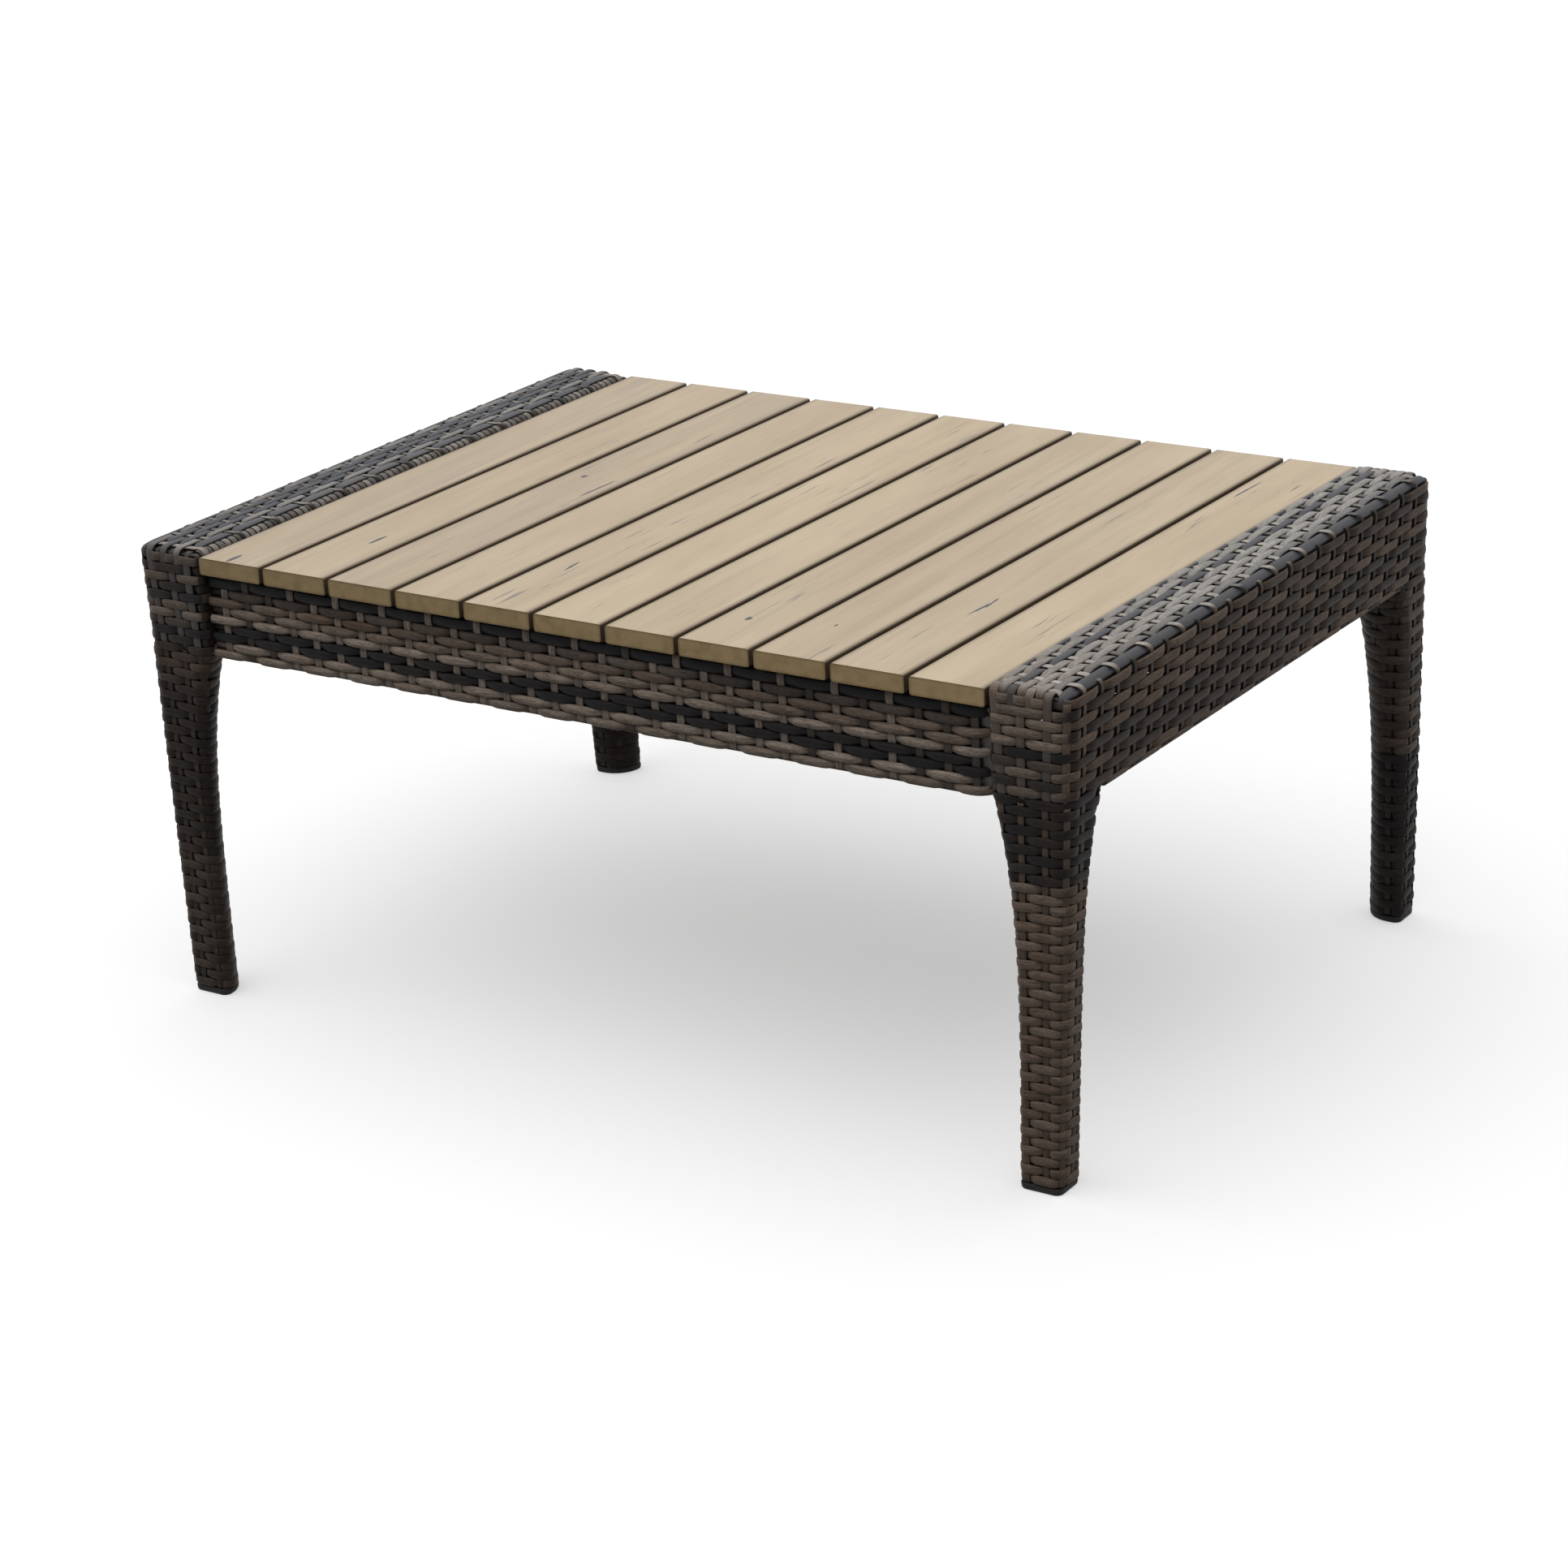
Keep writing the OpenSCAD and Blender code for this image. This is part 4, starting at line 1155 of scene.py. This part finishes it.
# How dark the eight rows of a face are, from the top, after the charcoal edge cane
FACE_TONES = (0.66, 0.3, 0.16, 0.02, 0.95, 0.97, 0.06, 0.2)
FACE_WARMTH = (0.35, 0.85, 0.6, 0.3, 0.3, 0.3, 0.3, 0.5)
APRON_CANE_TONE, APRON_CANE_WARMTH = 0.97, 0.2
UNDERSIDE_LOOK = (0.3, 0.5)
HIDDEN_LOOK = (0.8, 0.3)
# How much a row's tone changes along it, less so if it is very pale or very dark
APRON_CHANGE = 0.14
STEADY_CHANGE = 0.3
VERY_PALE, VERY_DARK = 0.05, 0.9
APRON_REACH = 110 * MM
APRON_WARM_CHANGE = (0.2, 80 * MM)
APRON_STRAY = (0.0, 0.3 * MM, 60 * MM)
APRON_STAKE_STRAY = 0.7 * MM
# Pale and dark stakes, and the share of dark ones
STAKE_PALE, STAKE_DARK = 0.12, 0.75
STAKE_DARK_SHARE = 0.26
APRON_STAKE_WARMTH = 0.6
# How far a stake rises to tie the edge cane, in rises of a stake
APRON_TIE = 2.8


def apron(end, name):
    """Rows along all faces of a sleeve, and stakes round its section."""
    tall = APRON_TOP - APRON_LOW
    deep = APRON_THICK
    section = Outline(deep, tall, (APRON_EDGE,) * 4, APRON_DEPTH)

    def stand(run, x):
        point, normal = section.at(run)
        path = in_space(x, end * (APRON_OUT - point[:, 0]), APRON_TOP - point[:, 1])
        return path, in_space(0.0, -end * normal[:, 0], -normal[:, 1])

    face = [(TOP_CANE_Z, APRON_CANE_TONE, APRON_CANE_WARMTH), *zip(FACE_ROWS, FACE_TONES, FACE_WARMTH)]
    rows = [(section.where(0.0, APRON_TOP - z), tone, warm) for z, tone, warm in face]
    rows += [(section.where(place * deep, tall), *UNDERSIDE_LOOK) for place in HIDDEN_PLACES]
    rows += [(section.where(deep, APRON_TOP - z), tone, warm) for z, tone, warm in face[::-1]]
    rows += [(section.where(place * deep, 0.0), *HIDDEN_LOOK) for place in HIDDEN_PLACES[::-1]]
    weave = Weave()
    hidden = len(rows) - len(HIDDEN_PLACES)
    edge_rows = (0, hidden - 1)
    for row, (run, tone, warm) in enumerate(rows):
        x = np.linspace(-APRON_END, APRON_END, int(2 * APRON_END / CANE_STEP))
        signs = [even(row + stake) for stake in range(len(APRON_STAKES))]
        height = over_and_under(x, APRON_STAKES, signs, APRON_HOLD)
        path, out = stand(np.full(len(x), run), x)
        half = plump(height, APRON_ROW_WIDE, APRON_ROW_THICK)
        if -end * out[0, 1] > FACING:
            half = (SNUG_ROW, half[1])
        rise = APRON_RISE
        if row >= hidden:
            half, rise = HIDDEN_ROW_HALF, HIDDEN_RISE
            path[:, 2] -= HIDDEN_SINK
        if out[0, 2] < -FACING:
            half, rise = HIDDEN_ROW_HALF, UNDERSIDE_RISE
        if row in edge_rows:
            half, rise = APRON_TOP_HALF, EDGE_CANE_RISE
        turned = np.clip((x - APRON_END + TURN_IN_REACH) / TURN_IN_REACH, 0, 1) ** 2
        path = lifted(path, out, height * rise - turned * TURN_IN)
        path[:, 2] += varied(x, *APRON_STRAY)
        change = APRON_CHANGE if VERY_PALE < tone < VERY_DARK else APRON_CHANGE * STEADY_CHANGE
        dark = varied(x, tone, change, APRON_REACH)
        warm = varied(x, warm, *APRON_WARM_CHANGE)
        weave.lay(path, out, half, dark + painted_recess_shade(height), warm, crown=1.0)
    runs = [run for run, tone, warm in rows]
    for stake, x in enumerate(APRON_STAKES):
        run = section.stations()
        signs = [-even(row + stake) for row in range(len(rows))]
        signs = [APRON_TIE if sign > 0 and row in edge_rows else sign for row, sign in enumerate(signs)]
        height = round_and_round(run, runs, signs, section.length)
        stray = chance.uniform(-APRON_STAKE_STRAY, APRON_STAKE_STRAY)
        path, out = stand(run, x + stray)
        on_top = out[:, 2] > FACING
        rise = height * np.where(on_top, HIDDEN_RISE, STAKE_RISE) - np.where(on_top, HIDDEN_STAKE_SINK, 0.0)
        path = lifted(path, out, rise)
        dark = STAKE_DARK if chance.uniform() < STAKE_DARK_SHARE or x == APRON_STAKES[-1] else STAKE_PALE
        tone = varied(run, dark, *STAKE_CHANGE)
        weave.lay(path, out, APRON_STAKE_HALF, tone, APRON_STAKE_WARMTH, closed=True, kind=1)
    weave.piece(f"{name}_apron_cane", f"{name}_apron_weave", CANES)


apron(-1, "front")
apron(1, "rear")


# Slats
# Eleven planed slats of tan wood-plastic board with rounded long edges. The board is streaked lengthwise,
# with a few blue-grey flecks; the sawn ends are darker and keep the blade's slanted lines.

SLAT_COUNT = 11
SLAT_PITCH = 70 * MM
SLAT_HALF = 32.75 * MM
SLAT_MIDDLE_Z = 397 * MM
SAW_PITCH = 1.9 * MM
SAW_SLANT = 0.9
# The grain runs a little askew to the slats
GRAIN_SKEW = 0.035
# Knots and dark streaks: on which slat, how far right of its middle and behind the table's, half length,
# half width, all in millimetres, and slant
KNOTS = (
    (1, -3, -302, 12, 3.0, 0.0),
    (2, 7, -209, 14, 1.8, 0.02),
    (3, 21, -8, 30, 1.5, 0.03),
    (3, -12, 17, 4.5, 2.2, 0.0),
    (5, -7, -200, 15, 1.2, -0.1),
    (8, -8, -251, 5, 2.8, 0.0),
    (9, -6, -236, 3, 1.4, 0.0),
    (10, 5, -150, 24, 1.3, 0.06),
    (10, 6, -138, 15, 1.0, -0.12),
    (11, -22, 218, 30, 1.2, 0.02),
)
# How grey, from 0 to 1, and how bright each slat is, from the left
SLAT_GREY = (0.75, 0.3, 0.6, 0.25, 0.2, 0.1, 0.15, 0.35, 0.25, 0.3, 0.1)
SLAT_LIGHT = (0.94, 1.0, 0.95, 0.98, 1.0, 1.02, 1.0, 0.99, 1.0, 0.98, 1.02)


def board(number, middle, grey, light):
    start = new_finish(f"streaked tan board {number:02d}")
    place = place_in_frame(start)
    across = place.axis(0) - middle
    along = place.axis(1)
    skewed = across + along * GRAIN_SKEW + number * 0.37
    grain = start.add("ShaderNodeCombineXYZ", {}, {0: skewed, 1: along + number * 0.53, 2: place.axis(2)})
    facing = start.add("ShaderNodeNewGeometry", {}, {}, "Normal")
    sawn = facing.axis(1).size().rise(0.55, 0.8)
    broad = grain.spread((26.0, 4.5, 26.0)).grain(1.0, 3.0, 0.6)
    vein = grain.spread((95.0, 3.2, 95.0)).grain(1.0, 4.0, 0.6)
    fibre = grain.spread((700.0, 26.0, 700.0)).grain(1.0, 2.0, 0.6)
    fleck = grain.spread((330.0, 13.0, 330.0)).grain(1.0, 2.0, 0.5)
    sparse = grain.spread((22.0, 6.0, 22.0)).grain(1.0, 1.0)
    flecks = fleck.rise(0.64, 0.72) * sparse.rise(0.48, 0.64)
    tan = broad.rise(0.2, 0.8).blend(colour(192, 173, 147), colour(209, 191, 164))
    tan = (grey * vein.rise(0.25, 0.75)).blend(tan, colour(178, 166, 151))
    tan = (vein.rise(0.5, 0.8) * 0.3).blend(tan, colour(172, 152, 126))
    # The top darkens towards both long edges, mottled by the veins: painted shade where the rounded edges
    # turn from the light
    edge = across.size().rise(SLAT_HALF - 6.0 * MM, SLAT_HALF - 0.5 * MM)
    tan = (edge * (0.35 + 0.5 * vein)).blend(tan, colour(112, 98, 82))
    # The flanks that face the gaps are coloured darker: painted shade in the gaps between slats
    flank = facing.axis(0).size().rise(0.45, 0.95)
    tan = flank.blend(tan, colour(92, 76, 58))
    tan = (flecks * 0.75).blend(tan, colour(100, 102, 108))
    for slat, aside, spot, half_long, half_wide, slant in KNOTS:
        if slat == number:
            way = along - spot * MM
            off = across - aside * MM - way * slant
            ahead = way / (half_long * MM)
            sideways = off / (half_wide * MM) + (fibre - 0.5) * 1.6
            knot = (1.0 - ahead * ahead - sideways * sideways).rise(0.0, 0.5)
            tan = (knot * 0.95).blend(tan, colour(76, 80, 91))
    uneven = place.spread((90.0, 20.0, 90.0)).grain(1.0, 3.0)
    stroke = (place.axis(0) * SAW_SLANT + place.axis(2)) * (2 * math.pi / SAW_PITCH) + uneven * 14.0
    cut = (stroke.wave() * 0.5 + 0.5) * uneven.rise(0.2, 0.65)
    end = (cut * 0.75 + fibre * 0.35).blend(colour(152, 129, 92), colour(208, 182, 139))
    rim = (place.axis(2) - SLAT_MIDDLE_Z).size().rise(4.8 * MM, 7.5 * MM)
    end = ((rim + across.size().rise(SLAT_HALF - 3 * MM, SLAT_HALF)) * 0.5).blend(end, colour(118, 98, 68))
    shown = sawn.blend(tan.lit(light * (0.93 + 0.14 * fibre)), end.lit(0.95 + 0.018 * number))
    relief = vein * 0.5 + fibre * 0.35 + sawn * cut * 0.8
    return start.dress(
        Base_Color=shown,
        Roughness=0.52 + 0.16 * vein + sawn * 0.16 - flecks * 0.08,
        Normal=relief.relief(0.0005, 0.25),
        Specular_IOR_Level=0.25,
    )


for number in range(1, SLAT_COUNT + 1):
    middle = (number - (SLAT_COUNT + 1) / 2) * SLAT_PITCH
    finish = board(number, middle, SLAT_GREY[number - 1], SLAT_LIGHT[number - 1])
    give_finish(finish, [f"slat_{number:02d}"])


# Floor, light and camera
# A plain white studio floor under a faint even sky and one broad soft lamp overhead. The camera stands where
# the table was photographed from, to the right of its front and above it.

FLOOR_HALF = 14.0
SKY_LIGHT = 0.07
LAMP_STRENGTH = 2.6
LAMP_SPREAD = math.radians(100)
LAMP_TILT = (math.radians(5), math.radians(-8), 0.0)
FLOOR_GLOW = 0.48
FLOOR_WHITE = 0.66
CAMERA_PLACE = (1.8372, -2.7012, 1.3941)
CAMERA_AZIMUTH = math.radians(34.4387)
CAMERA_ELEVATION = math.radians(20.7247)
CAMERA_ROLL = math.radians(3.0583)
SENSOR = 36.0
FOCAL_SHARE = 4947.9 / 1932


def seen_directly(start):
    """1 for rays from the camera and for what it sees in gloss or through glass, 0 for light passed on."""
    kinds = ("Camera", "Glossy", "Transmission")
    camera, gloss, glass = [start.add("ShaderNodeLightPath", {}, {}, f"Is {kind} Ray") for kind in kinds]
    return start.reckon("MAXIMUM", start.reckon("MAXIMUM", camera, gloss), glass)


def studio_floor():
    start = new_finish("white studio floor")
    tone = place_in_frame(start).grain(3.0, 2.0) * 0.004
    seen = seen_directly(start)
    lit = seen.blend(colour(98, 98, 98), (FLOOR_WHITE,) * 3 + (1.0,))
    glow = seen.blend((0.0, 0.0, 0.0, 1.0), (FLOOR_GLOW,) * 3 + (1.0,))
    return start.dress(
        Base_Color=lit,
        Roughness=0.9 + tone,
        Specular_IOR_Level=0.0,
        Emission_Color=glow,
        Emission_Strength=1.0,
    )


mesh = bpy.data.meshes.new("floor")
corners = [(-1, -1), (1, -1), (1, 1), (-1, 1)]
mesh.from_pydata([(x * FLOOR_HALF, y * FLOOR_HALF, 0.0) for x, y in corners], [], [(0, 1, 2, 3)])
mesh.materials.append(studio_floor())
floor = bpy.data.objects.new("floor", mesh)
bpy.context.scene.collection.objects.link(floor)

world = bpy.data.worlds.new("even sky")
world.use_nodes = True
bpy.context.scene.world = world
sky = Wire(world)
background = world.node_tree.nodes["Background"]
background.inputs["Color"].default_value = (1.0, 1.0, 1.0, 1.0)
strength = seen_directly(sky) * (1.0 - SKY_LIGHT) + SKY_LIGHT
world.node_tree.links.new(strength.socket, background.inputs["Strength"])

lamp_data = bpy.data.lights.new("broad lamp", "SUN")
lamp_data.energy = LAMP_STRENGTH
lamp_data.angle = LAMP_SPREAD
lamp = bpy.data.objects.new("broad lamp", lamp_data)
lamp.rotation_euler = LAMP_TILT
bpy.context.scene.collection.objects.link(lamp)

camera_data = bpy.data.cameras.new("camera")
camera_data.sensor_width = SENSOR
camera_data.lens = SENSOR * FOCAL_SHARE
camera = bpy.data.objects.new("camera", camera_data)
camera.matrix_world = Matrix.Translation(CAMERA_PLACE)
for angle, axis in ((CAMERA_AZIMUTH, "Z"), (math.pi / 2 - CAMERA_ELEVATION, "X"), (-CAMERA_ROLL, "Z")):
    camera.matrix_world = camera.matrix_world @ Matrix.Rotation(angle, 4, axis)
bpy.context.scene.collection.objects.link(camera)
bpy.context.scene.camera = camera
bpy.context.scene.view_settings.view_transform = "Standard"

bpy.context.view_layer.update()
